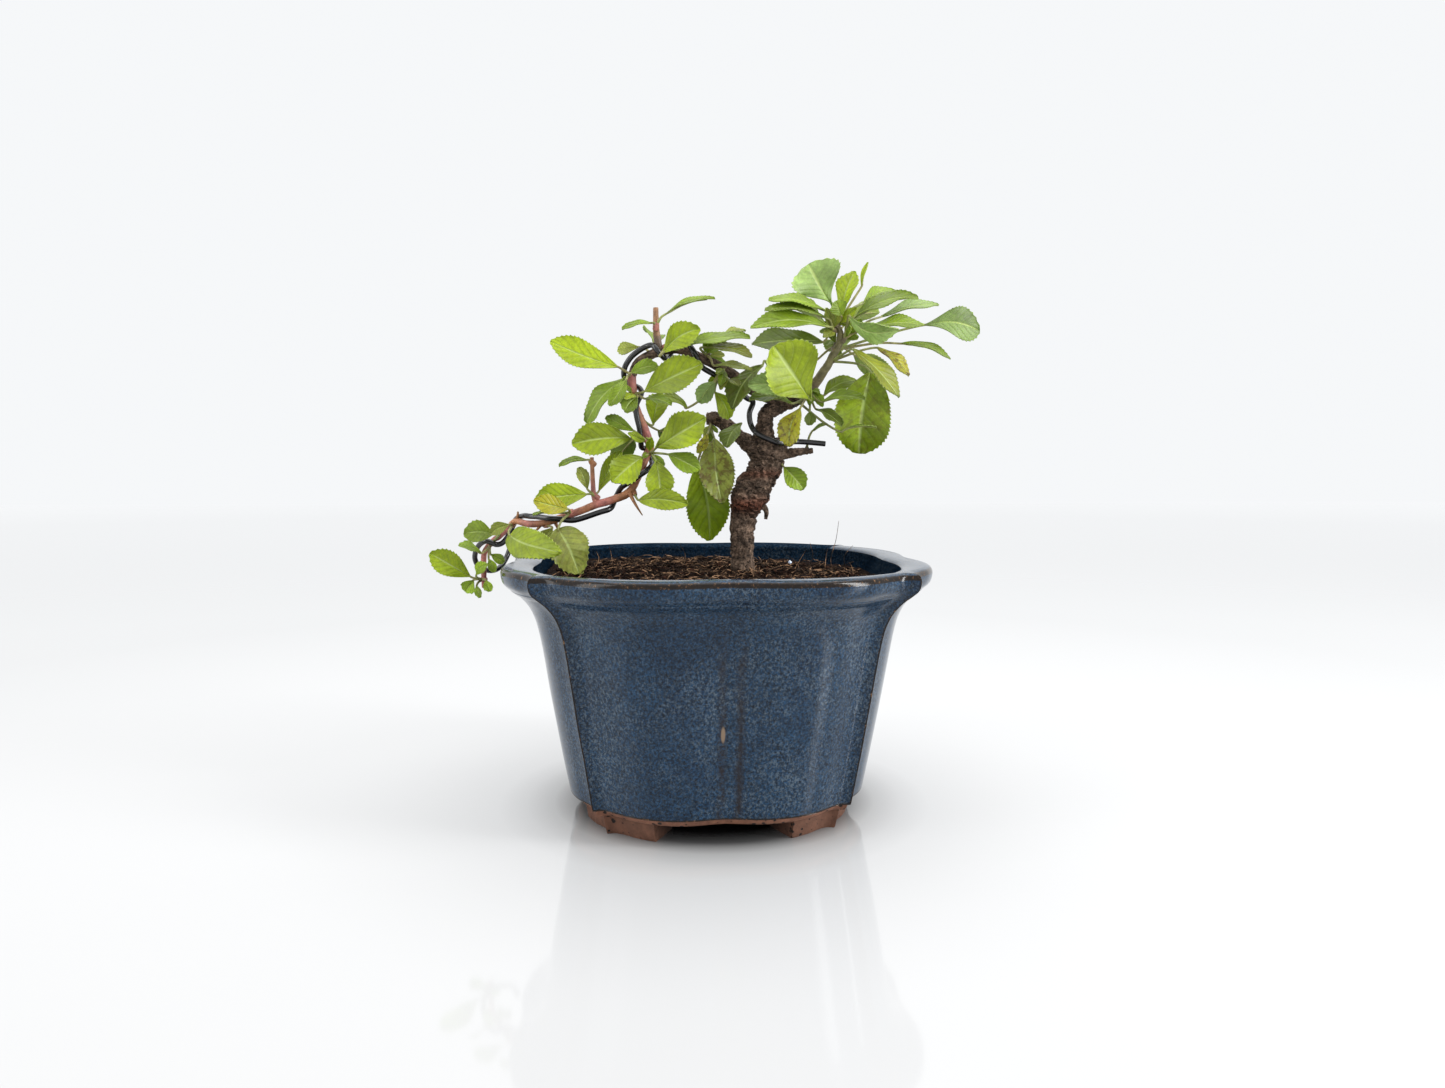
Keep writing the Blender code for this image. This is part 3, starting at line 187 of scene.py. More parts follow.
# Leaves: (base x, z, depth), (tip x, z, depth), width, the way the upper face looks, tint
FRONT = Vector((0, -1, 0.3))
UP = Vector((0, -0.55, 1))
FLAT = Vector((0, -0.12, 1))
BACK = Vector((0, 0.9, 0.7))
LEFT = Vector((-0.7, -0.8, 0.4))
RIGHT = Vector((0.7, -0.8, 0.4))
SAG = Vector((0, -0.8, -1))
TILT = Vector((0, -1, 1))
SHOOTS = {
    "shoot_shoulder": ((-29.8, 152.6, -6.5), (
        ((-34.2, 155.4, -10), (-58.7, 164.6, -14), 9.8, FRONT, "lime"),
        ((-31.6, 151.9, -8), (-46.1, 135.4, -5), 9.0, LEFT, "green"),
        ((-31.4, 151.2, -12), (-37.8, 141.6, -16), 5.0, FRONT, "green"),
        ((-30.2, 153.2, -11), (-20.2, 156.0, -12), 5.4, FRONT, "green"))),
    "shoot_stub": ((-20.6, 169.8, -7.2), (
        ((-22.0, 171.3, -8), (-33.0, 168.9, -9), 4.6, UP, "green"),
        ((-17.6, 174.2, -8), (0.4, 179.8, -9), 4.6, UP, "green"))),
    "shoot_arch": ((-17.4, 162.2, -7.4), (
        ((-18.4, 160.4, -14.5), (-5.0, 169.2, -18), 9.2, FRONT, "lime"),
        ((-13.6, 161.8, -13), (13.0, 166.0, -10), 8.6, UP, "green"))),
    "shoot_descent": ((-28.9, 146.0, -7.5), (
        ((-25.4, 146.6, -11), (-4.3, 156.5, -17), 12.0, FRONT, "lime"),
        ((-27.6, 144.6, -12), (-32.2, 139.6, -16), 6.2, FRONT, "green"),
        ((-25.2, 144.4, -10.5), (-15.2, 142.0, -13), 6.0, UP, "green"))),
    "shoot_bend": ((-24.0, 128.6, -6.0), (
        ((-29.7, 130.0, -9), (-51.4, 127.9, -13), 11.5, FRONT, "lime"),
        ((-28.6, 132.4, -9), (-39.1, 137.6, -6), 4.6, LEFT, "green"))),
    "shoot_crook": ((-23.2, 124.6, -5.6), (
        ((-25.6, 123.4, -9.5), (-36.9, 114.1, -15), 10.5, FRONT, "lime"),
        ((-20.9, 121.9, -9), (-19.0, 108.3, -12), 9.8, FRONT, "lime"),
        ((-16.7, 124.2, -10), (-5.1, 118.5, -14), 7.2, FRONT, "green"),
        ((-21.0, 126.4, -10.5), (-2.9, 137.2, -16), 12.2, FRONT, "lime"))),
    "shoot_thorn": ((-28.9, 110.0, -8.3), (
        ((-27.4, 107.6, -12), (-9.4, 106.1, -16), 7.4, FRONT, "lime"),)),
    "shoot_twig_top": ((-44.1, 121.0, -8), (
        ((-45.6, 122.4, -9), (-56.2, 119.9, -11), 3.8, UP, "green"),)),
    "shoot_twig_foot": ((-42.9, 108.9, -9.6), (
        ((-45.8, 111.4, -11.5), (-49.0, 119.5, -12), 4.2, FRONT, "pale"),
        ((-42.0, 110.6, -7.5), (-33.6, 125.2, -2), 6.0, FRONT, "lime"),
        ((-45.8, 109.8, -12.5), (-64.8, 107.8, -15), 9.4, FRONT, "lime"))),
    "shoot_rim": ((-52.2, 103.0, -10.6), (
        ((-52.6, 104.2, -18), (-65.5, 107.4, -24), 6.8, FRONT, "gold"),
        ((-56.6, 97.0, -19), (-49.2, 80.6, -29), 13.4, FRONT, "pale"),
        ((-57.8, 103.2, -14), (-65.9, 102.2, -17), 3.0, FLAT, "green"))),
    "shoot_rim_low": ((-61.0, 98.4, -8.6), (
        ((-58.8, 97.4, -12), (-62.6, 92.0, -14), 5.2, FRONT, "olive"),)),
    "shoot_over_rim": ((-73.2, 98.4, -4.2), (
        ((-74.4, 98.8, -7), (-81.4, 95.4, -9), 4.6, FRONT, "pale"),
        ((-74.6, 94.9, -15), (-56.1, 88.6, -35), 10.8, FRONT, "lime"))),
    "shoot_hook": ((-81.4, 91.4, 6.8), (
        ((-79.8, 95.2, -1), (-91.2, 95.4, -5), 8.0, FRONT, "deep"),
        ((-84.8, 88.4, 1.4), (-93.0, 91.4, -2), 5.4, UP, "green"),
        ((-81.4, 87.8, 4), (-76.6, 84.8, 4), 3.6, FRONT, "green"),
        ((-82.2, 86.2, 2), (-80.2, 81.2, 0.5), 3.2, FRONT, "green"))),
    "shoot_tip": ((-84.4, 78.6, 7.4), (
        ((-88.7, 79.5, 3), (-103.6, 88.3, -1), 9.0, FRONT, "lime"),
        ((-87.0, 80.2, 0.5), (-82.8, 84.4, -4), 4.2, FRONT, "green"),
        ((-87.9, 78.4, 7), (-91.2, 74.2, 7), 5.6, FRONT, "green"),
        ((-86.8, 76.4, 4), (-85.6, 72.0, 1), 2.6, FRONT, "green"),
        ((-83.4, 78.4, 3), (-81.8, 74.2, 1), 3.4, FRONT, "green"))),
    "shoot_span": ((-2.6, 159.4, -4.8), (
        ((2.5, 166.4, 2), (11.4, 168.4, 5), 4.4, UP, "pale"),
        ((-3.0, 162.6, -10.5), (13.8, 159.2, -12.5), 8.2, UP, "olive"),
        ((-0.2, 156.2, -10.5), (13.8, 154.0, -12), 5.0, UP, "pale"))),
    "shoot_under_span": ((3.4, 155.2, -5.4), (
        ((0.6, 150.4, -9), (-5.4, 142.6, -9), 6.4, FRONT, "teal"),
        ((5.4, 151.2, -10), (9.2, 148.8, -13), 3.6, UP, "olive"),
        ((0.4, 146.6, -5), (5.6, 137.0, -1), 7.0, FRONT, "lime"),
        ((-9.4, 141.0, -7), (-18.4, 145.4, -6), 5.6, UP, "lime"))),
    "shoot_left_limb": ((-1.0, 135.2, 13.4), (
        ((-2.2, 131.8, 8), (-6.0, 124.6, 5), 3.6, FRONT, "gold"),
        ((0.2, 129.8, 9.5), (3.0, 106.4, 2), 12.0, FRONT, "pale"),
        ((-6.2, 119.8, 14.6), (-1.6, 92.8, 15), 15.0, FRONT, "grass"))),
    "shoot_fork": ((8.4, 132.2, 8), (
        ((9.8, 135.4, 1), (4.4, 126.8, -4), 8.4, LEFT, "deep"),)),
    "shoot_purple": ((24.4, 145.2, 2.6), (
        ((17.4, 156.2, -4), (6.6, 140.6, -9), 10.8, LEFT, "deep"),)),
    "shoot_crown_top": ((44.2, 170.6, 3.4), (
        ((42.5, 177.0, 7.5), (33.8, 191.8, 6.5), 18.0, FRONT, "teal"),
        ((45.4, 175.4, 1), (50.2, 189.3, 0), 8.6, LEFT, "lime"),
        ((52.6, 183.8, 5), (55.0, 192.4, 6), 1.8, LEFT, "lime"),
        ((53.4, 178.2, 8), (64.4, 182.6, 14), 7.6, UP, "green"),
        ((45.8, 173.4, -3), (43.8, 178.8, -5), 6.6, FRONT, "green"))),
    "shoot_crown_left": ((42.8, 168.4, 2.6), (
        ((41.0, 174.9, -1), (19.6, 179.4, -3), 9.0, UP, "green"),
        ((41.2, 172.6, -3), (18.2, 175.6, -6), 8.0, UP, "green"),
        ((41.4, 169.8, -5), (13.2, 169.6, -10), 9.6, TILT, "green"),
        ((39.4, 164.6, 1), (13.6, 163.6, 6), 11.6, TILT, "deep"))),
    "shoot_crown_right": ((46.6, 165.2, 3.4), (
        ((48.2, 173.4, -4), (66.2, 168.4, -9), 9.0, SAG, "teal"),
        ((49.4, 172.2, 1), (73.0, 180.4, 2), 10.0, UP, "green"),
        ((60.0, 173.4, 9), (80.4, 177.4, 13), 8.6, UP, "teal"),
        ((54.0, 168.6, 0), (75.4, 170.4, -2), 11.0, UP, "green"))),
    "shoot_far_right": ((43.6, 161.4, 4), (
        ((74.6, 170.2, 5), (95.3, 168.4, 7), 11.6, FRONT, "teal"),
        ((67.0, 163.9, 5), (85.1, 158.4, 4), 6.6, UP, "green"))),
    "shoot_hanging_right": ((42.2, 157.4, 4), (
        ((58.6, 162.4, -1), (70.2, 152.2, -3), 7.6, RIGHT, "gold"),
        ((49.8, 161.8, -5), (66.8, 144.6, -10), 11.0, RIGHT, "olive"),
        ((56.4, 153.6, 4.5), (52.6, 124.3, 8), 18.6, FRONT, "grass"))),
    "shoot_front": ((34.6, 147.4, 3.6), (
        ((34.8, 143.6, -7), (21.6, 162.8, -17), 18.4, FRONT, "lime"),
        ((32.6, 146.2, -6), (12.4, 149.2, -14), 9.0, FRONT, "teal"),
        ((28.8, 142.6, -4), (12.7, 143.6, -9), 7.6, UP, "green"),
        ((36.6, 140.8, 0), (46.4, 134.4, -3), 6.4, UP, "deep"),
        ((38.4, 143.2, -3), (54.4, 144.0, -6), 8.0, UP, "green"),
        ((39.4, 145.4, 2), (51.4, 150.8, 9), 9.0, UP, "grass"),
        ((31.2, 141.2, -6), (27.2, 126.8, -10), 9.6, LEFT, "gold"),
        ((34.6, 139.6, -1.5), (34.4, 134.6, -3), 4.2, FRONT, "deep"))),
    "shoot_thin": ((29.4, 143.8, 3.4), (
        ((45.2, 132.6, -4), (58.8, 134.0, -8), 2.6, FLAT, "green"),)),
    "shoot_trunk": ((23.6, 121.6, 4), (
        ((25.2, 119.8, 3), (32.7, 111.6, 0), 8.0, FRONT, "green"),)),
    "shoot_stub_end": ((33.4, 125.6, 4.2), (
        ((35.4, 132.6, 6), (41.0, 135.2, 6), 1.8, UP, "green"),)),
    "shoot_crown_back": ((44.0, 163.4, 5.4), (
        ((47.0, 171.0, 14), (59.0, 175.0, 31), 9.0, BACK, "grass"),
        ((40.0, 171.0, 14), (29.0, 176.0, 30), 9.0, BACK, "green"),
        ((44.0, 166.0, 15), (45.0, 160.0, 34), 10.0, BACK, "grass"),
        ((50.0, 160.0, 12), (64.0, 151.0, 24), 9.0, BACK, "green"),
        ((37.0, 158.0, 12), (26.0, 151.0, 26), 8.0, BACK, "grass"))),
    "shoot_arch_back": ((-22.2, 159.8, -4.2), (
        ((-27.0, 162.6, 0), (-34.6, 161.6, 4), 4.8, FRONT, "pale"),
        ((-21.6, 164.0, 4), (-24.0, 168.0, 20), 8.0, BACK, "green"),
        ((-16.6, 159.4, 4), (-8.0, 152.0, 17), 8.0, BACK, "green"))),
    "shoot_bend_back": ((-26.2, 137.2, -3.4), (
        ((-28.6, 130.0, 6), (-36.0, 121.0, 18), 8.4, BACK, "green"),
        ((-22.0, 134.8, 3), (-19.0, 146.0, 9), 8.0, FRONT, "lime"),
        ((-20.4, 133.0, 9), (-10.0, 128.0, 20), 8.4, BACK, "green"))),
}
BLADE_THICK = 0.34
STALK_RADIUS = 0.5
STALK_TAPER = 0.68
STALK_SIDES = 7
SPUR_RADIUS = 1.25
SPUR_REACH = 1.3
SPUR_SIDES = 14
ARCH = 0.09
SAG_ARCH = 0.26
FOLD = 0.16
# Outlines as (skew, fullness, share of the width), and the leaves that have one of their own
PLAIN_OUTLINE = (1.38, 0.68, 1.0)
YOUNG_OUTLINE = (1.2, 0.75, 1.0)
OUTLINES = {("shoot_crown_top", 0): (2.1, 0.72, 1.1), ("shoot_far_right", 0): (2.0, 0.7, 1.1),
            ("shoot_hanging_right", 2): (1.2, 0.52, 1.08), ("shoot_over_rim", 1): (0.95, 0.6, 1.0),
            ("shoot_rim", 1): (0.95, 0.6, 1.0), ("shoot_left_limb", 1): (1.1, 0.66, 1.05),
            ("shoot_left_limb", 2): (1.15, 0.66, 1.05), ("shoot_thorn", 0): (1.1, 0.6, 1.0),
            ("shoot_front", 0): (1.6, 0.72, 1.16)}
# Leaves brighter or darker than their tint
SHADES = {("shoot_front", 0): 0.82, ("shoot_far_right", 0): 0.76, ("shoot_hanging_right", 2): 1.25,
          ("shoot_bend", 0): 0.72, ("shoot_descent", 0): 0.8, ("shoot_shoulder", 0): 1.15,
          ("shoot_left_limb", 2): 1.5, ("shoot_hook", 0): 1.9, ("shoot_hook", 1): 1.4,
          ("shoot_tip", 1): 1.4, ("shoot_tip", 2): 1.4, ("shoot_tip", 4): 1.5, ("shoot_crown_left", 3): 1.1,
          ("shoot_over_rim", 1): 0.85, ("shoot_rim", 1): 0.9, ("shoot_fork", 0): 1.3}
# How much of a leaf is spotted brown
SPOTTED = {("shoot_hanging_right", 0): 0.8, ("shoot_hanging_right", 2): 0.35, ("shoot_front", 6): 0.8,
           ("shoot_left_limb", 0): 0.7, ("shoot_left_limb", 1): 0.7, ("shoot_rim", 1): 0.25,
           ("shoot_span", 1): 0.3, ("shoot_purple", 0): 0.3}
# How many small new leaves stand round a shoot's growing point
YOUNG = {"shoot_crown_top": 9, "shoot_crown_right": 8, "shoot_crown_left": 7, "shoot_front": 7,
         "shoot_far_right": 4, "shoot_hanging_right": 6, "shoot_span": 5, "shoot_under_span": 6,
         "shoot_left_limb": 3, "shoot_crook": 3, "shoot_bend": 2, "shoot_descent": 2, "shoot_crown_back": 5}
YOUNG_TRIES = 60
YOUNG_WIDTH = 0.42
# Spurs right of this belong to the crown's olive stems
CROWN_FROM = -6
# Places across a blade, from one margin to the other
ACROSS = (-1.0, -0.93, -0.78, -0.56, -0.34, -0.15, -0.045, 0.0, 0.045, 0.15, 0.34, 0.56, 0.78, 0.93, 1.0)
TOOTH = 1.35
ROWS_A_TOOTH = 3
FEWEST_TEETH = 5
TEETH_FROM = 0.28
BITE = 0.055
DEEPEST_BITE = 0.6
NARROWEST = 0.05
FULLER = 1.08
RIB_DIP = 0.22
RIB_HALF = 0.05
# Painted light and shade of the fold: how much lighter one half of a leaf is than the other
HALF_LEAF_PAINTED_SHADE = 0.2

# Stage: the floor's glow, which is painted light that fades out near the pot as painted shadow,
# as (share of its reach in metres, strength), and the lamps as (name, place, aim, size, power)
ROOM_WHITE = (0.97, 0.985, 1.0, 1)
FLOOR_HALF = 3.0
FLOOR_REACH = 2.5
PAINTED_FLOOR_LIGHT = ((0.019, 0.0), (0.03, 0.8), (0.06, 0.85), (0.2, 0.5), (0.9, 0.3))
LAMPS = (("window_left", (-0.9, -0.35, 0.55), (0, 0, 0.08), (0.4, 1.0), 9),
         ("window_right", (0.88, -0.38, 0.5), (0, 0, 0.08), (0.2, 0.9), 20),
         ("ceiling", (0.05, 0.15, 1.1), (0, 0, 0.1), (1.1, 1.1), 10))


# Shared geometry


def link_object(name, data):
    made = bpy.data.objects.new(name, data)
    bpy.context.scene.collection.objects.link(made)
    return made


def place(point):
    """A point in millimetres from the pot's middle, in the frame's metres."""
    return Vector(point) * MM + POT_MIDDLE


def seen(x, z, depth):
    """A point of the drawing sheet, carried to its depth and turned with the tree."""
    on_sheet = Vector((x, 0, z))
    point = EYE + (on_sheet - EYE) * (1 - depth / EYE.y)
    return Matrix.Rotation(TREE_TURN, 3, "Z") @ point


def curve_through(points, steps):
    """A smooth path through the points, with a number of steps for each span."""
    points = [Vector(p) for p in points]
    ends = [2 * points[0] - points[1]] + points + [2 * points[-1] - points[-2]]
    path = []
    for i in range(1, len(ends) - 2):
        a, b, c, d = ends[i - 1:i + 3]
        for k in range(steps):
            t = k / steps
            path.append(0.5 * (2 * b + (c - a) * t + (2 * a - 5 * b + 4 * c - d) * t * t
                               + (3 * b - a - 3 * c + d) * t ** 3))
    path.append(points[-1])
    return path


def at_share(path, share):
    """The point at a share of the path's length."""
    lengths = [0.0]
    for a, b in zip(path, path[1:]):
        lengths.append(lengths[-1] + (b - a).length)
    goal = share * lengths[-1]
    for i in range(len(path) - 1):
        if lengths[i + 1] >= goal:
            span = lengths[i + 1] - lengths[i]
            return path[i].lerp(path[i + 1], (goal - lengths[i]) / span)
    return path[-1].copy()


def close_to(value, goal, width):
    """1 at the goal, and down to 0 away from it."""
    return math.exp(-((value - goal) / width) ** 2)


def smooth_step(low, high, value):
    t = min(max((value - low) / (high - low), 0), 1)
    return t * t * (3 - 2 * t)


def uneven(point, size, seed=0.0):
    """Smooth noise between about -1 and 1, with lumps of the given size in millimetres."""
    return noise.noise(Vector(point) / size + Vector((seed, 2.7 * seed, 0.0)))


SHARP_ANGLE = math.radians(50)


class Shape:
    """Collects the vertices and faces of one piece, in millimetres."""

    def __init__(self):
        self.points = []
        self.faces = []
        self.slots = []
        self.flat = []
        self.tints = []

    def add(self, points, faces, slot=0, flat=None, tints=None):
        """The slot is one for all the faces, or a list of one for each."""
        first = len(self.points)
        self.points += points
        self.faces += [tuple(first + k for k in face) for face in faces]
        self.slots += slot if isinstance(slot, list) else [slot] * len(faces)
        self.flat += flat or [(0.0, 0.0)] * len(points)
        self.tints += tints or [(1.0, 1.0, 1.0)] * len(points)

    def finish(self, name, looks):
        mesh = bpy.data.meshes.new(name)
        mesh.from_pydata([place(p) for p in self.points], [], self.faces)
        for look in looks:
            mesh.materials.append(look)
        mesh.polygons.foreach_set("material_index", self.slots)
        flat = mesh.uv_layers.new(name="flat")
        for loop in mesh.loops:
            flat.data[loop.index].uv = self.flat[loop.vertex_index]
        tint = mesh.attributes.new("tint", "FLOAT_COLOR", "POINT")
        tint.data.foreach_set("color", [c for t in self.tints for c in (*t, 1.0)[:4]])
        shape = bmesh.new()
        shape.from_mesh(mesh)
        bmesh.ops.recalc_face_normals(shape, faces=shape.faces)
        shape.to_mesh(mesh)
        shape.free()
        mesh.shade_smooth()
        mesh.set_sharp_from_angle(angle=SHARP_ANGLE)
        return link_object(name, mesh)


def bridge(rings, closed):
    """Vertices and quads of rings joined in order. A closed run joins the last to the first."""
    count = len(rings[0])
    points = [p for ring in rings for p in ring]
    faces = []
    for r in range(len(rings) if closed else len(rings) - 1):
        near = r * count
        far = ((r + 1) % len(rings)) * count
        for k in range(count):
            n = (k + 1) % count
            faces.append((near + k, near + n, far + n, far + k))
    return points, faces


def frames_along(path):
    """A heading and a side direction for each point of a path, carried along without twisting."""
    headings = []
    for i in range(len(path)):
        headings.append((path[min(i + 1, len(path) - 1)] - path[max(i - 1, 0)]).normalized())
    start = Vector((0, 1, 0)) if abs(headings[0].y) < 0.9 else Vector((1, 0, 0))
    side = (start - headings[0] * start.dot(headings[0])).normalized()
    sides = []
    for heading in headings:
        side = (side - heading * side.dot(heading)).normalized()
        sides.append(side)
    return headings, sides


def tube(path, radii, count, swell=None):
    """Vertices and faces of a closed tube. swell(point) returns a share of the radius."""
    headings, sides = frames_along(path)
    rings = []
    for i, centre in enumerate(path):
        other = headings[i].cross(sides[i])
        ring = []
        for k in range(count):
            angle = 2 * math.pi * k / count
            out = sides[i] * math.cos(angle) + other * math.sin(angle)
            reach = radii[i]
            if swell:
                reach *= 1 + swell(centre + out * reach)
            ring.append(centre + out * reach)
        rings.append(ring)
    points, faces = bridge(rings, False)
    last = (len(rings) - 1) * count
    faces.append(tuple(range(count)))
    faces.append(tuple(range(last, last + count)))
    return points, faces


def wood_path(rows, steps):
    """The smooth path and its radii through rows of (x, z, depth, radius)."""
    path = curve_through([seen(x, z, depth) for x, z, depth, radius in rows], steps)
    radii = curve_through([(radius, 0, 0) for x, z, depth, radius in rows], steps)
    return path, [r.x for r in radii]


# Materials


def rgba(colour):
    """Four channels from a grey level or from a colour."""
    return (colour, colour, colour, 1) if isinstance(colour, (int, float)) else (*colour, 1)


def scaled(colour, share):
    return tuple(min(1, share * c) for c in colour)


def add_node(tree, kind, inputs=None, **properties):
    """A node with its properties set and its inputs given, each a value or the socket that feeds it."""
    node = tree.nodes.new(kind)
    for key, value in properties.items():
        setattr(node, key, value)
    for key, value in (inputs or {}).items():
        socket = node.inputs[key]
        if isinstance(value, bpy.types.NodeSocket):
            tree.links.new(value, socket)
        else:
            socket.default_value = rgba(value) if socket.type == "RGBA" else value
    return node


class Look:
    """A Principled material with short calls for the nodes that the finishes use."""

    def __init__(self, name, **values):
        self.material = bpy.data.materials.new(name)
        self.material.use_nodes = True
        self.tree = self.material.node_tree
        self.shader = self.tree.nodes["Principled BSDF"]
        for key, value in values.items():
            self.shader.inputs[key.replace("_", " ").title().replace("Ior", "IOR")].default_value = value
        self.coordinates = self.node("ShaderNodeTexCoord").outputs["Object"]

    def node(self, kind, inputs=None, **properties):
        return add_node(self.tree, kind, inputs, **properties)

    def stretched(self, scale):
        return self.node("ShaderNodeMapping", {"Vector": self.coordinates, "Scale": scale}).outputs["Vector"]

    def noise(self, scale, detail=4.0, roughness=0.55, vector=None):
        values = {"Vector": vector or self.coordinates, "Scale": scale, "Detail": detail,
                  "Roughness": roughness}
        return self.node("ShaderNodeTexNoise", values).outputs["Fac"]

    def cells(self, scale):
        values = {"Vector": self.coordinates, "Scale": scale}
        return self.node("ShaderNodeTexVoronoi", values).outputs["Distance"]

    def ramp(self, factor, *stops):
        """A colour ramp of (position, grey level or colour) stops."""
        node = self.node("ShaderNodeValToRGB", {"Fac": factor})
        elements = node.color_ramp.elements
        while len(elements) < len(stops):
            elements.new(0.5)
        for element, (position, colour) in zip(elements, stops):
            element.position = position
            element.color = rgba(colour)
        return node.outputs["Color"]

    def blend(self, factor, first, second, kind="MIX"):
        values = {0: factor, 6: first, 7: second}
        return self.node("ShaderNodeMix", values, data_type="RGBA", blend_type=kind).outputs[2]

    def tinted(self, base, *others):
        """A colour multiplied by others."""
        for other in others:
            base = self.blend(1.0, base, other, "MULTIPLY")
        return base

    def sums(self, operation, first, second=0.0, third=0.0):
        return self.node("ShaderNodeMath", {0: first, 1: second, 2: third}, operation=operation).outputs[0]

    def times(self, first, second):
        return self.sums("MULTIPLY", first, second)

    def less(self, first, second):
        return self.sums("SUBTRACT", first, second)

    def tint(self, output="Color"):
        """The colour that the mesh carries at its points. Its alpha has its own meaning for each piece."""
        return self.node("ShaderNodeAttribute", attribute_name="tint").outputs[output]

    def parts(self, vector):
        return self.node("ShaderNodeSeparateXYZ", {0: vector}).outputs

    def distance_from(self, point):
        values = {0: self.coordinates, 1: point}
        return self.node("ShaderNodeVectorMath", values, operation="DISTANCE").outputs["Value"]

    def feed(self, name, socket):
        self.tree.links.new(socket, self.shader.inputs[name])

    def finished(self, colour, *bumps):
        """The material with its colour and its bumps, each (socket, strength, depth in millimetres)."""
        self.feed("Base Color", colour)
        normal = None
        for height, strength, depth in bumps:
            values = {"Height": height, "Strength": strength, "Distance": depth * MM}
            if normal:
                values["Normal"] = normal
            normal = self.node("ShaderNodeBump", values).outputs["Normal"]
        if normal:
            self.feed("Normal", normal)
        return self.material


# Two dark streaks down the middle of the front, by their place across, and a bare chip on one of them
SEAMS = (-1.3, 4.3)
SEAM_WIDTH = 2.4
SEAM_SWAY = 3.0
SEAM_BROWN = (0.016, 0.010, 0.008)
SEAM_STRENGTH = 0.85
CHIP = Vector((-1.2, 38.0))
CHIP_HALF = Vector((0.8, 3.0))
# An edge where the glaze wore thin goes from black through dark brown to the edge's own colour
EDGE_BLACK = (0.006, 0.004, 0.003)
EDGE_BROWN = (0.014, 0.008, 0.005)


def front_marks(look):
    """How much of the two streaks shows, and of the chip."""
    x, y, z = look.parts(look.coordinates)
    front = look.ramp(look.sums("MULTIPLY_ADD", y, -10.0, 10.0 * POT_MIDDLE.y), (0.2, 0.0), (0.3, 1.0))
    sway = look.times(look.less(look.noise(60, 2), 0.5), SEAM_SWAY * MM)
    lines = []
    for seam in SEAMS:
        off = look.sums("ABSOLUTE", look.sums("ADD", look.less(x, POT_MIDDLE.x + seam * MM), sway))
        lines.append(look.ramp(look.sums("DIVIDE", off, SEAM_WIDTH * MM), (0.1, 1.0), (0.8, 0.0)))
    low = look.ramp(look.times(z, 10.0), (0.1, 1.0), (0.62, 0.75), (0.76, 0.0))
    broken = look.ramp(look.noise(260, 6, 0.75), (0.38, 0.25), (0.56, 1.0))
    streaks = look.times(look.times(look.sums("MAXIMUM", *lines), low), look.times(front, broken))
    across = look.sums("DIVIDE", look.less(x, POT_MIDDLE.x + CHIP.x * MM), CHIP_HALF.x * MM)
    up = look.sums("DIVIDE", look.less(z, CHIP.y * MM), CHIP_HALF.y * MM)
    far = look.sums("ADD", look.times(across, across), look.times(up, up))
    return streaks, look.times(look.ramp(far, (0.4, 1.0), (1.0, 0.0)), front)


def glaze_look(settings, name, roughness, shine):
    """Slate blue under a grey grain. The tint says how thin it runs, its alpha how much painted shade darkens
    it.
    """
    look = Look(name, roughness=roughness, specular_ior_level=shine)
    cloud = look.ramp(look.noise(45, 12, 0.8), (0.3, settings.glaze_deep), (0.7, settings.glaze_pale))
    speck = look.ramp(look.noise(1300, 6, 0.85), (0.4, 0.1), (0.5, 0.9), (0.6, 2.6))
    frost = look.ramp(look.noise(1150, 6, 0.85, look.stretched((1, 1, 0.8))), (0.49, 0.0), (0.6, 1.0))
    frosted = look.ramp(look.noise(34, 4, 0.7), (0.4, 0.25), (0.62, 0.95))
    base = look.blend(look.times(frost, frosted), look.tinted(cloud, speck), settings.frost_colour)
    wear_and_painted_shade = look.times(look.tint(), look.ramp(look.noise(420, 5, 0.7), (0.3, 0.72), (0.6, 1.3)))
    brown = look.ramp(look.noise(700, 4, 0.7), (0.4, EDGE_BLACK), (0.58, EDGE_BROWN),
                      (0.7, settings.edge_colour))
    base = look.blend(look.ramp(wear_and_painted_shade, (0.3, 0.0), (0.62, 1.0)), base, brown)
    streaks, chip = front_marks(look)
    base = look.blend(look.times(streaks, SEAM_STRENGTH), base, SEAM_BROWN)
    base = look.blend(chip, base, settings.chip_colour)
    # The tint's alpha darkens the glaze as painted shade
    return look.finished(look.tinted(base, look.tint("Alpha")),
                         (look.noise(60, 3), 0.25, 0.5), (look.noise(900, 4, 0.7), 0.3, 0.1))


def speckled(look, noise, colour, *stops):
    """A colour that goes through shares of itself: (position in the noise, share)."""
    return look.ramp(noise, *((position, scaled(colour, share)) for position, share in stops))


def clay_look(settings):
    """Bare clay with small dark pits that stand in groups, times the mesh's tint, which holds painted shade
    under the pot.
    """
    look = Look("bare_clay", roughness=0.78)
    clay = speckled(look, look.noise(300, 8, 0.7), settings.clay_colour, (0.32, 0.5), (0.66, 1.0))
    groups = look.times(look.ramp(look.noise(110, 3), (0.46, 0.0), (0.6, 1.0)), -0.25)
    pits = look.ramp(look.sums("ADD", look.cells(520), groups), (0.05, 0.06), (0.16, 1.0))
    return look.finished(look.tinted(clay, pits, look.tint()),
                         (look.noise(500, 6, 0.7), 0.5, 0.5), (pits, 0.6, 0.5))


def soil_look(settings):
    look = Look("peat_and_coir", roughness=0.95, specular_ior_level=0.08)
    noise = look.noise(420, 9, 0.75)
    return look.finished(speckled(look, noise, settings.colour, (0.38, 0.2), (0.54, 0.8), (0.7, 3.2)),
                         (look.noise(600, 8, 0.8), 0.9, 1.2))


def crumb_look(settings):
    look = Look("peat_crumbs", roughness=0.95, specular_ior_level=0.08)
    noise = look.noise(300, 4, 0.7)
    return look.finished(speckled(look, noise, settings.colour, (0.42, 0.05), (0.54, 0.8), (0.68, 4.2)))


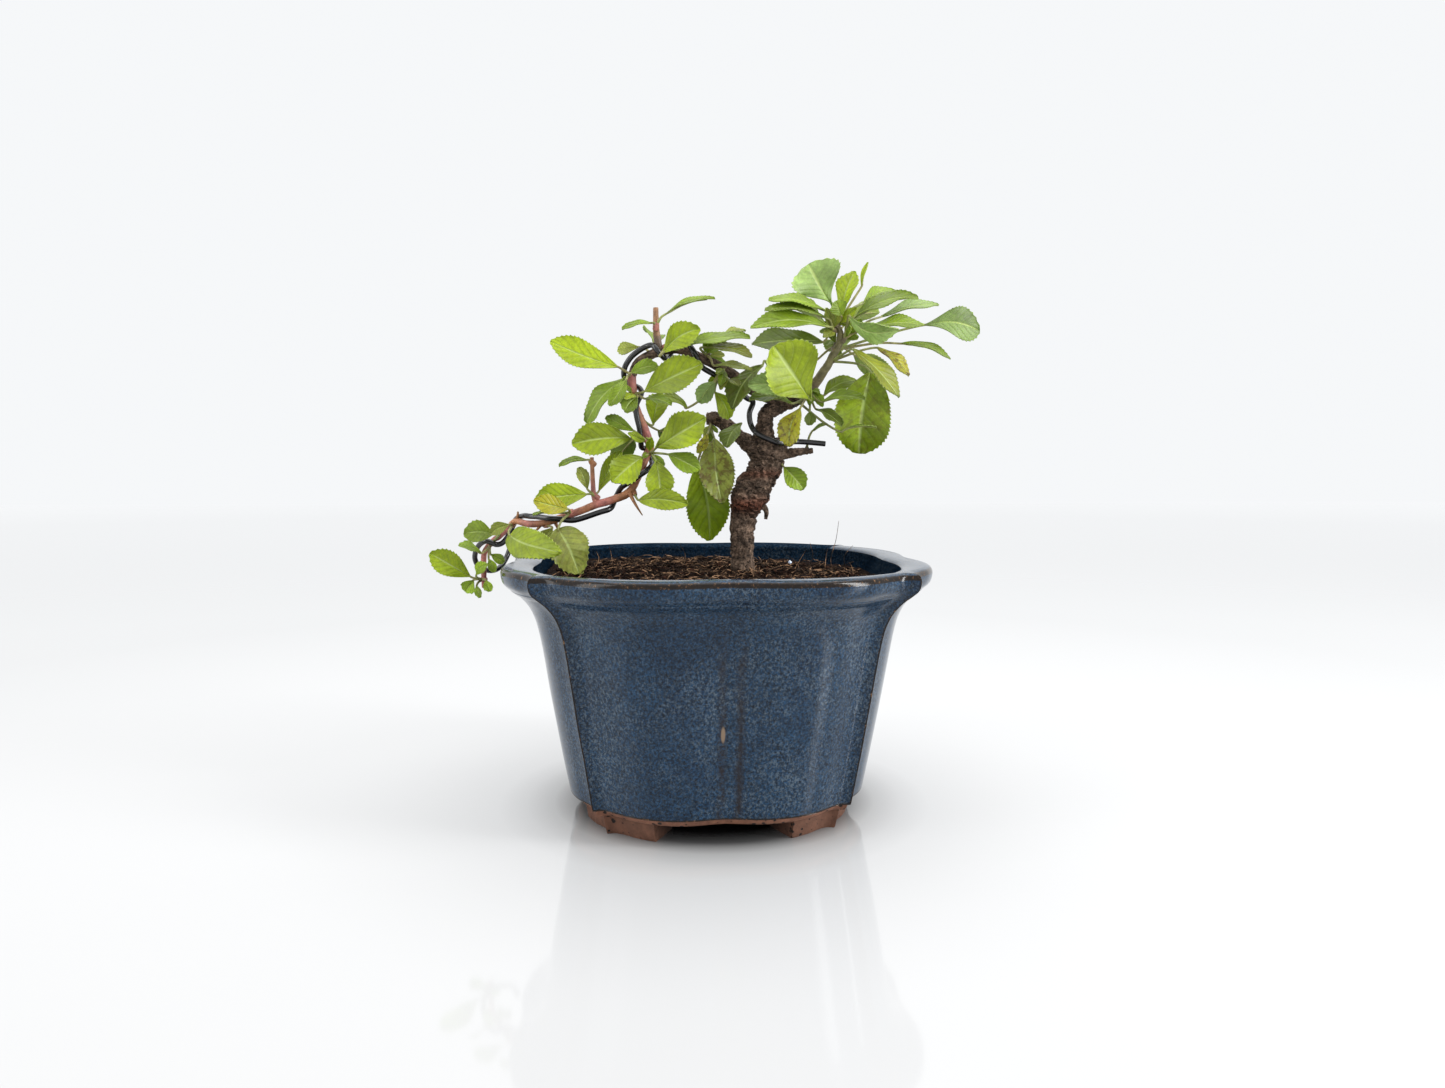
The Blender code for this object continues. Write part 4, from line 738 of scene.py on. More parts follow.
def fibre_look(settings):
    look = Look("coir_fibres", roughness=0.8, specular_ior_level=0.15)
    noise = look.noise(240, 4, 0.7)
    stops = ((0.42, 0.03), (0.52, 0.3), (0.61, 1.25))
    return look.finished(speckled(look, noise, settings.fibre_colour, *stops))


def bark_look():
    look = Look("grey_brown_bark", roughness=0.82, specular_ior_level=0.25)
    patches = look.ramp(look.noise(260, 8, 0.75), (0.36, 0.3), (0.5, 0.95), (0.66, 2.1))
    across = look.noise(520, 6, 0.7, look.stretched((1, 1, 2.6)))
    cracks = look.ramp(across, (0.38, 0.12), (0.47, 1.0))
    return look.finished(look.tinted(look.tint(), patches, cracks),
                         (across, 0.9, 0.9), (look.noise(1500, 5, 0.75), 0.5, 0.25))


def stem_look():
    look = Look("young_stem", roughness=0.5)
    patches = look.ramp(look.noise(380, 5, 0.65), (0.32, 0.55), (0.68, 1.35))
    spots = look.ramp(look.cells(900), (0.12, 1.6), (0.24, 1.0))
    return look.finished(look.tinted(look.tint(), patches, spots), (look.noise(900, 4), 0.4, 0.2))


WIRE_BLACK = (0.006, 0.006, 0.007)
WIRE_GREY = (0.014, 0.013, 0.014)


def wire_look():
    look = Look("black_wire", roughness=0.24, coat_weight=0.3)
    return look.finished(look.ramp(look.noise(300, 3), (0.4, WIRE_BLACK), (0.7, WIRE_GREY)))


def plain_look(name, colour, roughness):
    return Look(name, base_color=rgba(colour), roughness=roughness).material


# Side veins on each half of a leaf, and how far they lean toward its tip
VEINS = 7
VEIN_LEAN = 0.3
VEIN_STRENGTH = 0.34
LINE_STRENGTH = 0.72
UNDER_SHARE = 0.4


def leaf_look(name, settings, side):
    """Pale veins over the leaf's tint. The under face is paler and duller."""
    look = Look(name, roughness=0.4 if side == "upper" else 0.6, specular_ior_level=0.28,
                subsurface_weight=settings.glow, subsurface_scale=0.0015, subsurface_radius=(0.6, 1.0, 0.2))
    across, along = look.parts(look.node("ShaderNodeUVMap", uv_map="flat").outputs["UV"])[:2]
    off = look.sums("ABSOLUTE", look.less(look.times(across, 2.0), 1.0))
    wave = look.sums("FRACT", look.times(look.less(along, look.times(off, VEIN_LEAN)), VEINS))
    ridge = look.sums("ABSOLUTE", look.less(wave, 0.5))
    vein = look.times(look.ramp(ridge, (0.0, 1.0), (0.07, 0.0)), look.ramp(off, (0.0, 1.0), (0.95, 0.25)))
    rib = look.ramp(off, (0.025, 1.0), (0.085, 0.0))
    margin = look.ramp(off, (0.93, 0.0), (0.99, 0.5))
    lines = look.sums("MAXIMUM", look.times(vein, VEIN_STRENGTH), look.sums("MAXIMUM", rib, margin))
    patches = look.ramp(look.noise(120, 4, 0.6), (0.3, 0.76), (0.7, 1.26))
    fine = look.ramp(look.noise(900, 5, 0.7), (0.35, 0.84), (0.65, 1.16))
    # Painted shade: the blade darkens along its sunken veins
    vein_groove_shade = look.ramp(ridge, (0.05, 0.9), (0.35, 1.04))
    base = look.tinted(look.tint(), patches, fine, vein_groove_shade)
    if side == "under":
        base = look.blend(UNDER_SHARE, base, settings.under_colour)
    base = look.blend(look.times(lines, LINE_STRENGTH), base, settings.vein_colour)
    spots = look.ramp(look.noise(430, 6, 0.7), (0.5, 0.0), (0.58, 1.0))
    base = look.blend(look.times(spots, look.less(1.0, look.tint("Alpha"))), base, settings.spot_colour)
    quilt = look.less(look.ramp(ridge, (0.0, 0.0), (0.3, 1.0)), rib)
    return look.finished(base, (quilt, 0.32, 0.3), (look.noise(1000, 4, 0.6), 0.3, 0.12))


# Pot


def lobed_outline(half_side, steps, crowded=True):
    """Counter-clockwise from the middle of the front side: (place, share of the half side).
    Crowded, the points stand closer at the corners and at the middle of each side."""
    path = curve_through([(x, d, 0) for x, d in half_side], 8)
    half = []
    for k in range(steps + 1):
        share = k / steps
        if crowded:
            share = 0.5 - 0.5 * math.cos(math.pi * share)
        p = at_share(path, share)
        half.append((Vector((p.x, -p.y, 0)), share))
    corner = half[-1][0].y
    outline = []
    for quarter in range(4):
        bulge = END_BULGE if quarter % 2 else 1.0
        side = [(Vector((p.x, corner + (p.y - corner) * bulge, 0)), share) for p, share in half]
        before = [(Vector((-p.x, p.y, 0)), share) for p, share in reversed(side[1:])]
        turn = Matrix.Rotation(quarter * math.pi / 2, 3, "Z")
        outline += [(turn @ p, share) for p, share in before + side[:-1]]
    return outline


def ring_at(outline, height, share):
    return [Vector((p.x * share, p.y * share, height)) for p, along in outline]


def circle_like(outline, height, radius):
    return [Vector((p.x, p.y, 0)).normalized() * radius + Vector((0, 0, height)) for p, along in outline]


def wall_share(height):
    """The inner wall's share of its outline at a height."""
    rows = sorted(INNER_WALL)
    for (low, a), (high, b) in zip(rows, rows[1:]):
        if low <= height <= high:
            return a + (b - a) * (height - low) / (high - low)
    return rows[-1][1]


def line_at(value, line):
    """A line's strength at a value, where the line is (strength, middle, spread)."""
    strength, middle, spread = line
    return strength * close_to(value, middle, spread)


# Lines where the glaze runs thin, by height and by the distance from a corner's ridge
LIP_LINE = (1.15, RIM_TOP - 1.3, 0.8)
FOOT_LINE = (0.7, GLAZE_FOOT + 0.2, 0.55)
RIDGE_LINE = (1.0, 0, 0.75)
RIM_RIDGE_LINE = (0.6, 0, 0.8)
SIDE_LINE = (0.55, 9.5, 0.5)
SIDE_LINE_HEIGHTS = (60, 72)
RIDGE_TOP = 80
CLAY_BAND = 1.6
# How light a face is left, as painted shade: under the pot, on the inner wall, and on top of the back of the
# rim
SHADED = 0.16
INSIDE_SHADE = 0.3
BACK_RIM_SHADE = 0.45
CLAY_EDGE = 0.65
RIM_DEPTH = 1.2
WALL_WAVE = 0.18
WALL_SINK = 0.15
WAVES_BELOW = 76
STEP_ENDS = (0.93, 0.8)
STEP_ROWS = tuple(STEP_LINES[0] + d for d in (-0.25, -0.05, 0.15)) + tuple(
    STEP_LINES[1] + d for d in (-0.15, 0.05, 0.25))


def worn_at(height, along):
    """How thin the glaze has run, from 0 to 1: on the lip, at the foot and on the corner ridges."""
    from_corner = (1 - along) * RIM_HALF_WIDTH
    lines = [line_at(height, LIP_LINE), line_at(height, FOOT_LINE)]
    if height < RIDGE_TOP:
        lines.append(line_at(from_corner, RIDGE_LINE))
        lines.append(line_at(from_corner, SIDE_LINE) * smooth_step(*SIDE_LINE_HEIGHTS, height))
    else:
        lines.append(line_at(from_corner, RIM_RIDGE_LINE))
    return max(lines)


def shade_at(spot, inside):
    """How much of its colour the glaze keeps, as painted shade: less on the inner wall and on top of the back
    of the rim.
    """
    if spot.z > RIM_TOP - RIM_DEPTH:
        return 1 + (BACK_RIM_SHADE - 1) * smooth_step(-4, 4, spot.y - abs(spot.x))
    return INSIDE_SHADE if inside else 1.0


def is_dull(face, points):
    """Whether an inner face is on the wall, or on the rim's top at the back, where it hardly shines."""
    middle = sum((points[k] for k in face), Vector()) / len(face)
    return middle.y > abs(middle.x) or middle.z < RIM_TOP - RIM_DEPTH


def outer_rows():
    """The outer wall's smooth rows of (height, share), with more of them at the steps under the rim."""
    wall = [(p.x, p.y) for p in curve_through([(z, s, 0) for z, s in OUTER_WALL], 5)]
    for z in STEP_ROWS:
        below = max(row for row in wall if row[0] <= z)
        above = min(row for row in wall if row[0] > z)
        wall.append((z, below[1] + (above[1] - below[1]) * (z - below[0]) / (above[0] - below[0])))
    return sorted(wall)


def wall_point(p, along, z, share):
    """A point of the outer wall, with the two steps under the rim and the glaze's slight waves."""
    step = STEP_HEIGHT * smooth_step(*STEP_ENDS, along)
    out = step * (smooth_step(STEP_ROWS[0], STEP_ROWS[2], z) - smooth_step(STEP_ROWS[3], STEP_ROWS[5], z))
    spot = Vector((p.x * share, p.y * share, z))
    wave = WALL_WAVE * uneven(spot, 16.0) * smooth_step(RIM_TOP, WAVES_BELOW, z)
    return spot + Vector((p.x, p.y, 0)).normalized() * (out + wave - WALL_SINK)


def make_pot(settings):
    outer = lobed_outline(OUTER_HALF_SIDE, SIDE_STEPS)
    inner = lobed_outline(INNER_HALF_SIDE, SIDE_STEPS)
    count = len(outer)
    rings = [circle_like(outer, FLOOR_UNDER, DRAIN_RADIUS)]
    # Besides the glaze's wear, these values carry SHADED as painted shade: under the pot and round the drain
    wear_and_painted_shade = [SHADED] * count
    for z, s in UNDERSIDE:
        rings.append(ring_at(outer, z, s))
        wear_and_painted_shade += [SHADED if s < CLAY_EDGE else CLAY_BAND] * count
    first_glazed = len(rings) - 1
    for z, s in outer_rows():
        rings.append([wall_point(p, along, z, s) for p, along in outer])
        wear_and_painted_shade += [worn_at(z, along) for p, along in outer]
    first_inside = len(rings)
    rings += [ring_at(inner, p.x, p.y) for p in curve_through([(z, s, 0) for z, s in INNER_WALL], 4)]
    wear_and_painted_shade += [0.0] * (len(rings) - first_inside) * count
    rings.append(circle_like(outer, FLOOR_TOP, DRAIN_RADIUS))
    wear_and_painted_shade += [SHADED] * count
    points, faces = bridge(rings, True)
    last = len(rings) - 1
    # The alpha is painted shade on the inner wall and on top of the back of the rim
    tints = [(w, w, w, shade_at(spot, first_inside <= k // count < last))
             for k, (w, spot) in enumerate(zip(wear_and_painted_shade, points))]
    glaze, clay, dull = [], [], []
    for k, face in enumerate(faces):
        ring = k // count
        if ring < first_glazed or ring >= last - 1:
            clay.append(face)
        elif ring >= first_inside - 1 and is_dull(face, points):
            dull.append(face)
        else:
            glaze.append(face)
    shape = Shape()
    slots = [0] * len(glaze) + [1] * len(clay) + [2] * len(dull)
    shape.add(points, glaze + clay + dull, slots, tints=tints)
    for corner in range(4):
        add_foot(shape, outer, corner)
    looks = [glaze_look(settings, "blue_slate_glaze", 0.13, 0.27), clay_look(settings),
             glaze_look(settings, "dull_inner_glaze", 0.35, 0.0)]
    pot = shape.finish("glazed_pot", looks)
    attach(pot, "root")
    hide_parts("pot")


def add_foot(shape, outer, corner):
    """A bare bracket that follows the outline under one corner, a little chipped."""
    middle = corner * 2 * SIDE_STEPS
    near = [outer[(middle + k) % len(outer)] for k in range(-SIDE_STEPS, SIDE_STEPS + 1)]
    run = [p for p, along in near if along >= 1 - FOOT_SHARE]
    rings = []
    for height, out, back in FOOT_WALL:
        front = []
        for p in run:
            spot = Vector((p.x * out, p.y * out, height))
            chip = 0.22 * uneven(spot, 1.6, corner + 3.0) + 0.2 * uneven(spot, 5.0, corner)
            front.append(spot + Vector((p.x, p.y, 0)).normalized() * (chip - 0.3))
        rings.append(front + [Vector((p.x * back, p.y * back, height)) for p in reversed(run)])
    points, faces = bridge(rings, False)
    count = len(rings[0])
    half = count // 2
    for base in (0, (len(rings) - 1) * count):
        for k in range(half - 1):
            faces.append((base + k, base + k + 1, base + count - 2 - k, base + count - 1 - k))
    # Painted shade: the foot's inner face is darkened to SHADED
    light = [1.0] * half + [SHADED] * half
    shape.add(points, faces, 1, tints=[(v, v, v) for _ in rings for v in light])


# Soil


def lump(x, y):
    return SOIL_LUMP * (math.sin(0.31 * x + 1.1) * math.cos(0.27 * y)
                        + 0.7 * math.sin(0.63 * x - 0.5 * y + 2.0) + 0.4 * math.sin(1.1 * y + 0.9 * x))


def soil_height(x, y):
    """The soil is a little higher in the middle and to the left."""
    reach = math.hypot(x, y) / RIM_HALF_WIDTH
    tilt = -0.022 * x + 0.004 * y
    return SOIL_EDGE + 1.3 * (1 - reach) + tilt + 0.55 * lump(x, y)


def make_soil(settings):
    inner = lobed_outline(INNER_HALF_SIDE, SOIL_SIDE_STEPS, crowded=False)
    clear = 1 - SOIL_CLEARANCE / RIM_HALF_WIDTH
    rings = [ring_at(inner, SOIL_UNDER, wall_share(SOIL_UNDER) * clear)]
    for k in range(SOIL_RINGS, 0, -1):
        ring = ring_at(inner, 0, wall_share(SOIL_EDGE) * clear * k / SOIL_RINGS)
        for p in ring:
            fine = uneven(p, 2.2) + 0.6 * uneven(p, 0.9, 4.0)
            p.z = soil_height(p.x, p.y) + SOIL_FINE * fine - SOIL_SINK
        rings.append(ring)
    points, faces = bridge(rings, False)
    count = len(inner)
    top = (len(rings) - 1) * count
    points.append(Vector((0, 0, soil_height(0, 0))))
    faces += [(top + k, top + (k + 1) % count, len(points) - 1) for k in range(count)]
    faces.append(tuple(range(count)))
    shape = Shape()
    shape.add(points, faces)
    soil = shape.finish("peat_soil", [soil_look(settings)])
    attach(soil, "root")
    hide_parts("soil")
    return soil


# Crumbs and fibres on the soil


def new_tree(name, **inputs):
    """A Geometry Nodes tree that takes a geometry and the named inputs, with its two end nodes."""
    tree = bpy.data.node_groups.new(name, "GeometryNodeTree")
    tree.is_modifier = True
    tree.interface.new_socket("Geometry", in_out="INPUT", socket_type="NodeSocketGeometry")
    tree.interface.new_socket("Geometry", in_out="OUTPUT", socket_type="NodeSocketGeometry")
    for label, kind in inputs.items():
        tree.interface.new_socket(label, in_out="INPUT", socket_type="NodeSocket" + kind)
    return tree, tree.nodes.new("NodeGroupInput"), tree.nodes.new("NodeGroupOutput")


def run_tree(source, tree, values, name):
    """A plain mesh object of what the tree makes on the source."""
    change = source.modifiers.new("grow", "NODES")
    change.node_group = tree
    for item in tree.interface.items_tree:
        if item.item_type == "SOCKET" and item.in_out == "INPUT" and item.name in values:
            change[item.identifier] = values[item.name]
    source.update_tag()
    grown = source.evaluated_get(bpy.context.evaluated_depsgraph_get())
    mesh = bpy.data.meshes.new_from_object(grown)
    source.modifiers.clear()
    mesh.name = name
    return link_object(name, mesh)


def paint_tree(tree, leave, geometry, look):
    painted = add_node(tree, "GeometryNodeSetMaterial", {"Geometry": geometry, "Material": look})
    tree.links.new(painted.outputs[0], leave.inputs[0])


def wander_tree(tree, leave, geometry, look, wander, scale):
    """Realize the copies, push their points about by the wander in millimetres, and paint them."""
    real = add_node(tree, "GeometryNodeRealizeInstances", {0: geometry})
    waves = add_node(tree, "ShaderNodeTexNoise", {"Scale": scale, "Detail": 2})
    values = {0: waves.outputs["Color"], 1: (0.5, 0.5, 0.5)}
    shift = add_node(tree, "ShaderNodeVectorMath", values, operation="SUBTRACT")
    values = {0: shift.outputs[0], "Scale": wander * MM}
    grow = add_node(tree, "ShaderNodeVectorMath", values, operation="SCALE")
    values = {"Geometry": real.outputs[0], "Offset": grow.outputs[0]}
    push = add_node(tree, "GeometryNodeSetPosition", values)
    paint_tree(tree, leave, push.outputs[0], look)


def scatter(tree, entry, piece, low_turn, high_turn):
    """Copies of the piece spread over the source, with random turns and sizes."""
    given = entry.outputs
    values = {"Mesh": given["Geometry"], "Density": given["Density"], "Seed": given["Seed"]}
    spread = add_node(tree, "GeometryNodeDistributePointsOnFaces", values)
    turn = add_node(tree, "FunctionNodeRandomValue", {0: low_turn, 1: high_turn}, data_type="FLOAT_VECTOR")
    size = add_node(tree, "FunctionNodeRandomValue", {2: COPY_SIZES[0], 3: COPY_SIZES[1]}, data_type="FLOAT")
    values = {"Points": spread.outputs["Points"], "Instance": piece, "Rotation": turn.outputs[0],
              "Scale": size.outputs[1]}
    return add_node(tree, "GeometryNodeInstanceOnPoints", values).outputs[0]


def swept(tree, curve, radius, sides, capped=False):
    """A tube of the radius along the curve."""
    ring = add_node(tree, "GeometryNodeCurvePrimitiveCircle", {"Resolution": sides, "Radius": radius})
    values = {"Curve": curve, "Profile Curve": ring.outputs[0], "Fill Caps": capped}
    return add_node(tree, "GeometryNodeCurveToMesh", values).outputs[0]


def crumb_tree(look):
    tree, entry, leave = new_tree("crumbs", Density="Float", Size="Float", Seed="Int")
    values = {"Subdivisions": 2, "Radius": entry.outputs["Size"]}
    crumb = add_node(tree, "GeometryNodeMeshIcoSphere", values)
    copies = scatter(tree, entry, crumb.outputs[0], (0, 0, 0), (WHOLE_TURN, WHOLE_TURN, WHOLE_TURN))
    wander_tree(tree, leave, copies, look, *CRUMB_WANDER)
    return tree


def fibre_tree(look):
    tree, entry, leave = new_tree("fibres", Density="Float", Length="Float", Thickness="Float", Seed="Int")
    bow = add_node(tree, "GeometryNodeCurveQuadraticBezier", FIBRE_BOW)
    triple = add_node(tree, "ShaderNodeCombineXYZ", {k: entry.outputs["Length"] for k in range(3)})
    values = {"Geometry": bow.outputs[0], "Scale": triple.outputs[0]}
    stretch = add_node(tree, "GeometryNodeTransform", values)
    body = swept(tree, stretch.outputs[0], entry.outputs["Thickness"], 4)
    copies = scatter(tree, entry, body, (-0.3, -0.45, 0), (0.3, 0.45, WHOLE_TURN))
    wander_tree(tree, leave, copies, look, *FIBRE_WANDER)
    return tree


def top_only(soil):
    """A copy of the soil's upper face, for what lies on it."""
    mesh = soil.data.copy()
    shape = bmesh.new()
    shape.from_mesh(mesh)
    low = (SOIL_EDGE - LITTER_DROP) * MM
    gone = [f for f in shape.faces if min(v.co.z for v in f.verts) < low
            or max((v.co - POT_MIDDLE).xy.length for v in f.verts) > LITTER_REACH * MM]
    bmesh.ops.delete(shape, geom=gone, context="FACES")
    shape.to_mesh(mesh)
    shape.free()
    return link_object("soil_top", mesh)


def make_litter(settings, soil):
    ground = top_only(soil)
    few = settings.fibres * LONG_SHARE
    rows = (("peat_crumbs", crumb_tree(crumb_look(settings)),
             {"Density": settings.crumbs, "Size": 1.15 * MM, "Seed": 3}),
            ("coir_fibres", fibre_tree(fibre_look(settings)),
             {"Density": settings.fibres, "Length": 9 * MM, "Thickness": 0.14 * MM, "Seed": 11}),
            ("long_fibres", fibre_tree(fibre_look(settings)),
             {"Density": few, "Length": 17 * MM, "Thickness": 0.2 * MM, "Seed": 29}))
    for name, tree, values in rows:
        litter = run_tree(ground, tree, values, name)
        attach(litter, "root")
    bpy.data.objects.remove(ground)


def make_hairs(settings):
    """Fine root hairs that stand up from the soil, and the pale bead that lies on it."""
    shape = Shape()
    for rows in HAIRS:
        path = curve_through([seen(*row) for row in rows], 6)
        radii = [0.16 - 0.09 * k / len(path) for k in range(len(path))]
        shape.add(*tube(path, radii, 5))
    shape.add(*tube([seen(*row) for row in BEAD], BEAD_RADII, 12), slot=1)
    hairs = shape.finish("root_hairs", [fibre_look(settings), plain_look("pale_bead", BEAD_COLOUR, 0.3)])
    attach(hairs, "root")


# Wood


def flake(point, size):
    """Bark plates: 0.5 on a plate and down to -0.5 in the cracks between them."""
    bent = Vector((point.x, point.y, 0.75 * point.z)) / size + 0.5 * noise.noise_vector(point / size)
    near = noise.voronoi(bent)[0]
    return smooth_step(0.02, 0.34, near[1] - near[0]) - 0.5


def bark_swell(size, depth, rings=0.0):
    """Relief of a stem as a share of its radius: knobs, and rings across it."""
    noise.seed_set(BARK_SEED)

    def swell(point):
        rough = uneven(point, size) * 0.6 + uneven(point, size * 0.4, 5.0) * 0.35
        band = rings * (0.5 + 0.5 * math.sin(2.1 * point.z + 1.5 * uneven(point, 3.0)))
        return depth * (rough + 0.7 * flake(point, size * 0.42)) + band
    return swell


def blend_tints(share, first, second):
    return tuple(a + (b - a) * share for a, b in zip(first, second))


def stem_tint(settings, share, point):
    """From brown bark through pink-red to orange-brown, in patches, along a young stem."""
    patch = smooth_step(-0.35, 0.35, uneven(point, 9.0, 2.0))
    young = blend_tints(patch, settings.stem_pink, settings.stem_orange)
    return blend_tints(share, settings.branch_brown, young)


def crackled(tint, point, size):
    """A tint that darkens in the cracks of the bark and pales on its plates."""
    light = 0.95 + 0.75 * flake(point, size) + 0.3 * uneven(point, 1.7, 6.0)
    return tuple(c * max(0.12, light) for c in tint)


def add_stem(shape, rows, steps, count, slot, tint, swell):
    """One stem. tint(share, point) gives its colour, and bark in the first slot is crackled too."""
    path, radii = wood_path(rows, steps)
    points, faces = tube(path, radii, count, swell)
    tints = []
    for i, spot in enumerate(path):
        plain = tint(i / (len(path) - 1), spot)
        tints += [plain if slot else crackled(plain, p, 1.1) for p in points[i * count:(i + 1) * count]]
    shape.add(points, faces, slot, tints=tints)


def add_trunk(shape, settings):
    """The trunk, a little wider down in the soil, with two reddish rings."""
    path, radii = wood_path(TRUNK, 14)
    foot = path[0]
    path = [foot - Vector((0, 0, depth)) for depth, wider in TRUNK_ROOT] + path
    radii = [radii[0] * wider for depth, wider in TRUNK_ROOT] + radii
    points, faces = tube(path, radii, TRUNK_SIDES, bark_swell(4.2, 0.2, 0.035))
    tints = []
    for p in points:
        red = min(1, line_at(p.z, LOW_RING) + line_at(p.z, HIGH_RING))
        tints.append(crackled(blend_tints(red, settings.bark_grey, settings.bark_red), p, 1.5))
    shape.add(points, faces, tints=tints)


def make_wood(settings):
    shape = Shape()
    add_trunk(shape, settings)

    def bark(share, point):
        patch = smooth_step(-0.3, 0.4, uneven(point, 5.0))
        return blend_tints(patch, settings.bark_grey, settings.branch_brown)

    def greener(share, point):
        return blend_tints(smooth_step(0.0, 0.5, share), settings.branch_brown, settings.stem_olive)

    def young(share, point):
        return stem_tint(settings, 1.0, point)

    def less_young(share, point):
        return stem_tint(settings, 0.8, point)

    def cut_twig(share, point):
        return blend_tints(smooth_step(0.3, 0.5, share), settings.branch_brown, settings.twig_tan)

    def thorn(share, point):
        return blend_tints(share, settings.stem_orange, THORN_TIP)

    rough = bark_swell(2.6, 0.24, 0.03)
    smooth = bark_swell(2.0, 0.08)
    stems = [(RIGHT_LIMB[:6], 14, 44, 0, bark, rough),
             (RIGHT_LIMB[5:], 8, 24, 1, greener, bark_swell(2.4, 0.12)),
             (LEFT_LIMB, 14, 40, 0, bark, rough),
             (FORK_STUB, 12, 26, 0, bark, rough),
             (DROP_STUB, 6, 14, 0, bark, rough),
             (CASCADE[:8], 7, 24, 0, bark, bark_swell(2.4, 0.14)),
             (CASCADE[7:], 7, 22, 1, young, smooth),
             (UPRIGHT_TWIG, 7, 14, 1, less_young, smooth),
             (TOP_STUB, 7, 18, 1, cut_twig, smooth)]
    stems += [(rows, 5, 10, 1, thorn, smooth) for rows in THORNS]
    for stem in stems:
        add_stem(shape, *stem)
    wood = shape.finish("bark_and_stems", [bark_look(), stem_look()])
    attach(wood, "root")
    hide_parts("trunk_and_branches")


# Wire


def wire_route():
    """The wire's centre line: its two free ends as listed, its turns wound round the branch."""
    steps = 4
    rows, radii = wood_path(CASCADE, steps)
    wound = []
    for turn in curve_through([(spot, angle, 0) for spot, angle in WIRE_TURNS], 3):
        spot = turn.x * steps
        i = min(int(spot), len(rows) - 2)
        centre = rows[i].lerp(rows[i + 1], spot - i)
        along = (rows[min(i + 2, len(rows) - 1)] - rows[max(i - 1, 0)]).normalized()
        front = Vector((0, -1, 0))
        front = (front - along * front.dot(along)).normalized()
        above = along.cross(front)
        angle = math.radians(turn.y)
        reach = radii[i] * (1 + WOOD_RELIEF) + WIRE_RADIUS + WIRE_CLEARANCE
        wound.append(centre + (front * math.cos(angle) + above * math.sin(angle)) * reach)
    return [seen(*p) for p in WIRE_START] + wound + [seen(*p) for p in WIRE_END]


def wire_tree(look):
    tree, entry, leave = new_tree("wire", Thickness="Float")
    body = swept(tree, entry.outputs["Geometry"], entry.outputs["Thickness"], WIRE_SIDES, capped=True)
    smooth = add_node(tree, "GeometryNodeSetShadeSmooth", {"Geometry": body})
    real = add_node(tree, "GeometryNodeRealizeInstances", {0: smooth.outputs[0]})
    paint_tree(tree, leave, real.outputs[0], look)
    return tree


def make_wire():
    line = bpy.data.curves.new("wire_line", "CURVE")
    line.dimensions = "3D"
    strand = line.splines.new("POLY")
    path = curve_through(wire_route(), 5)
    strand.points.add(len(path) - 1)
    for point, spot in zip(strand.points, path):
        point.co = (*place(spot), 1)
    guide = link_object("wire_guide", line)
    wire = run_tree(guide, wire_tree(wire_look()), {"Thickness": WIRE_RADIUS * MM}, "wound_wire")
    bpy.data.objects.remove(guide)
    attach(wire, "root")
    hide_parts("training_wire")


# Leaves


def half_width(t, skew, fullness):
    """A leaf's half width at a share of its length, as a share of its widest."""
    return math.sin(math.pi * t ** skew) ** fullness if 0 < t < 1 else 0.0


def leaf_frame(base, tip, face):
    """The leaf's directions: toward its tip, up from its upper face, and across."""
    along = (tip - base).normalized()
    up = (face - along * face.dot(along)).normalized()
    return along, up, along.cross(up)


def arch_of(face):
    """How high a blade arches, as a share of its length."""
    return SAG_ARCH if face is SAG else ARCH


def blade_faces(rows):
    """The upper and under faces of a blade and the strip between them, over points of rows times ACROSS."""
    wide = len(ACROSS)
    count = (rows + 1) * wide
    top = []
    for k in range(rows):
        for j in range(wide - 1):
            a = k * wide + j
            top.append((a, a + 1, a + wide + 1, a + wide))
    under = [tuple(count + v for v in reversed(face)) for face in top]
    rim = [k * wide for k in range(rows + 1)] + [rows * wide + j for j in range(1, wide)]
    rim += [k * wide + wide - 1 for k in range(rows - 1, -1, -1)] + list(range(wide - 2, 0, -1))
    sides = [(a, b, count + b, count + a) for a, b in zip(rim, rim[1:] + rim[:1])]
    return top, under, sides


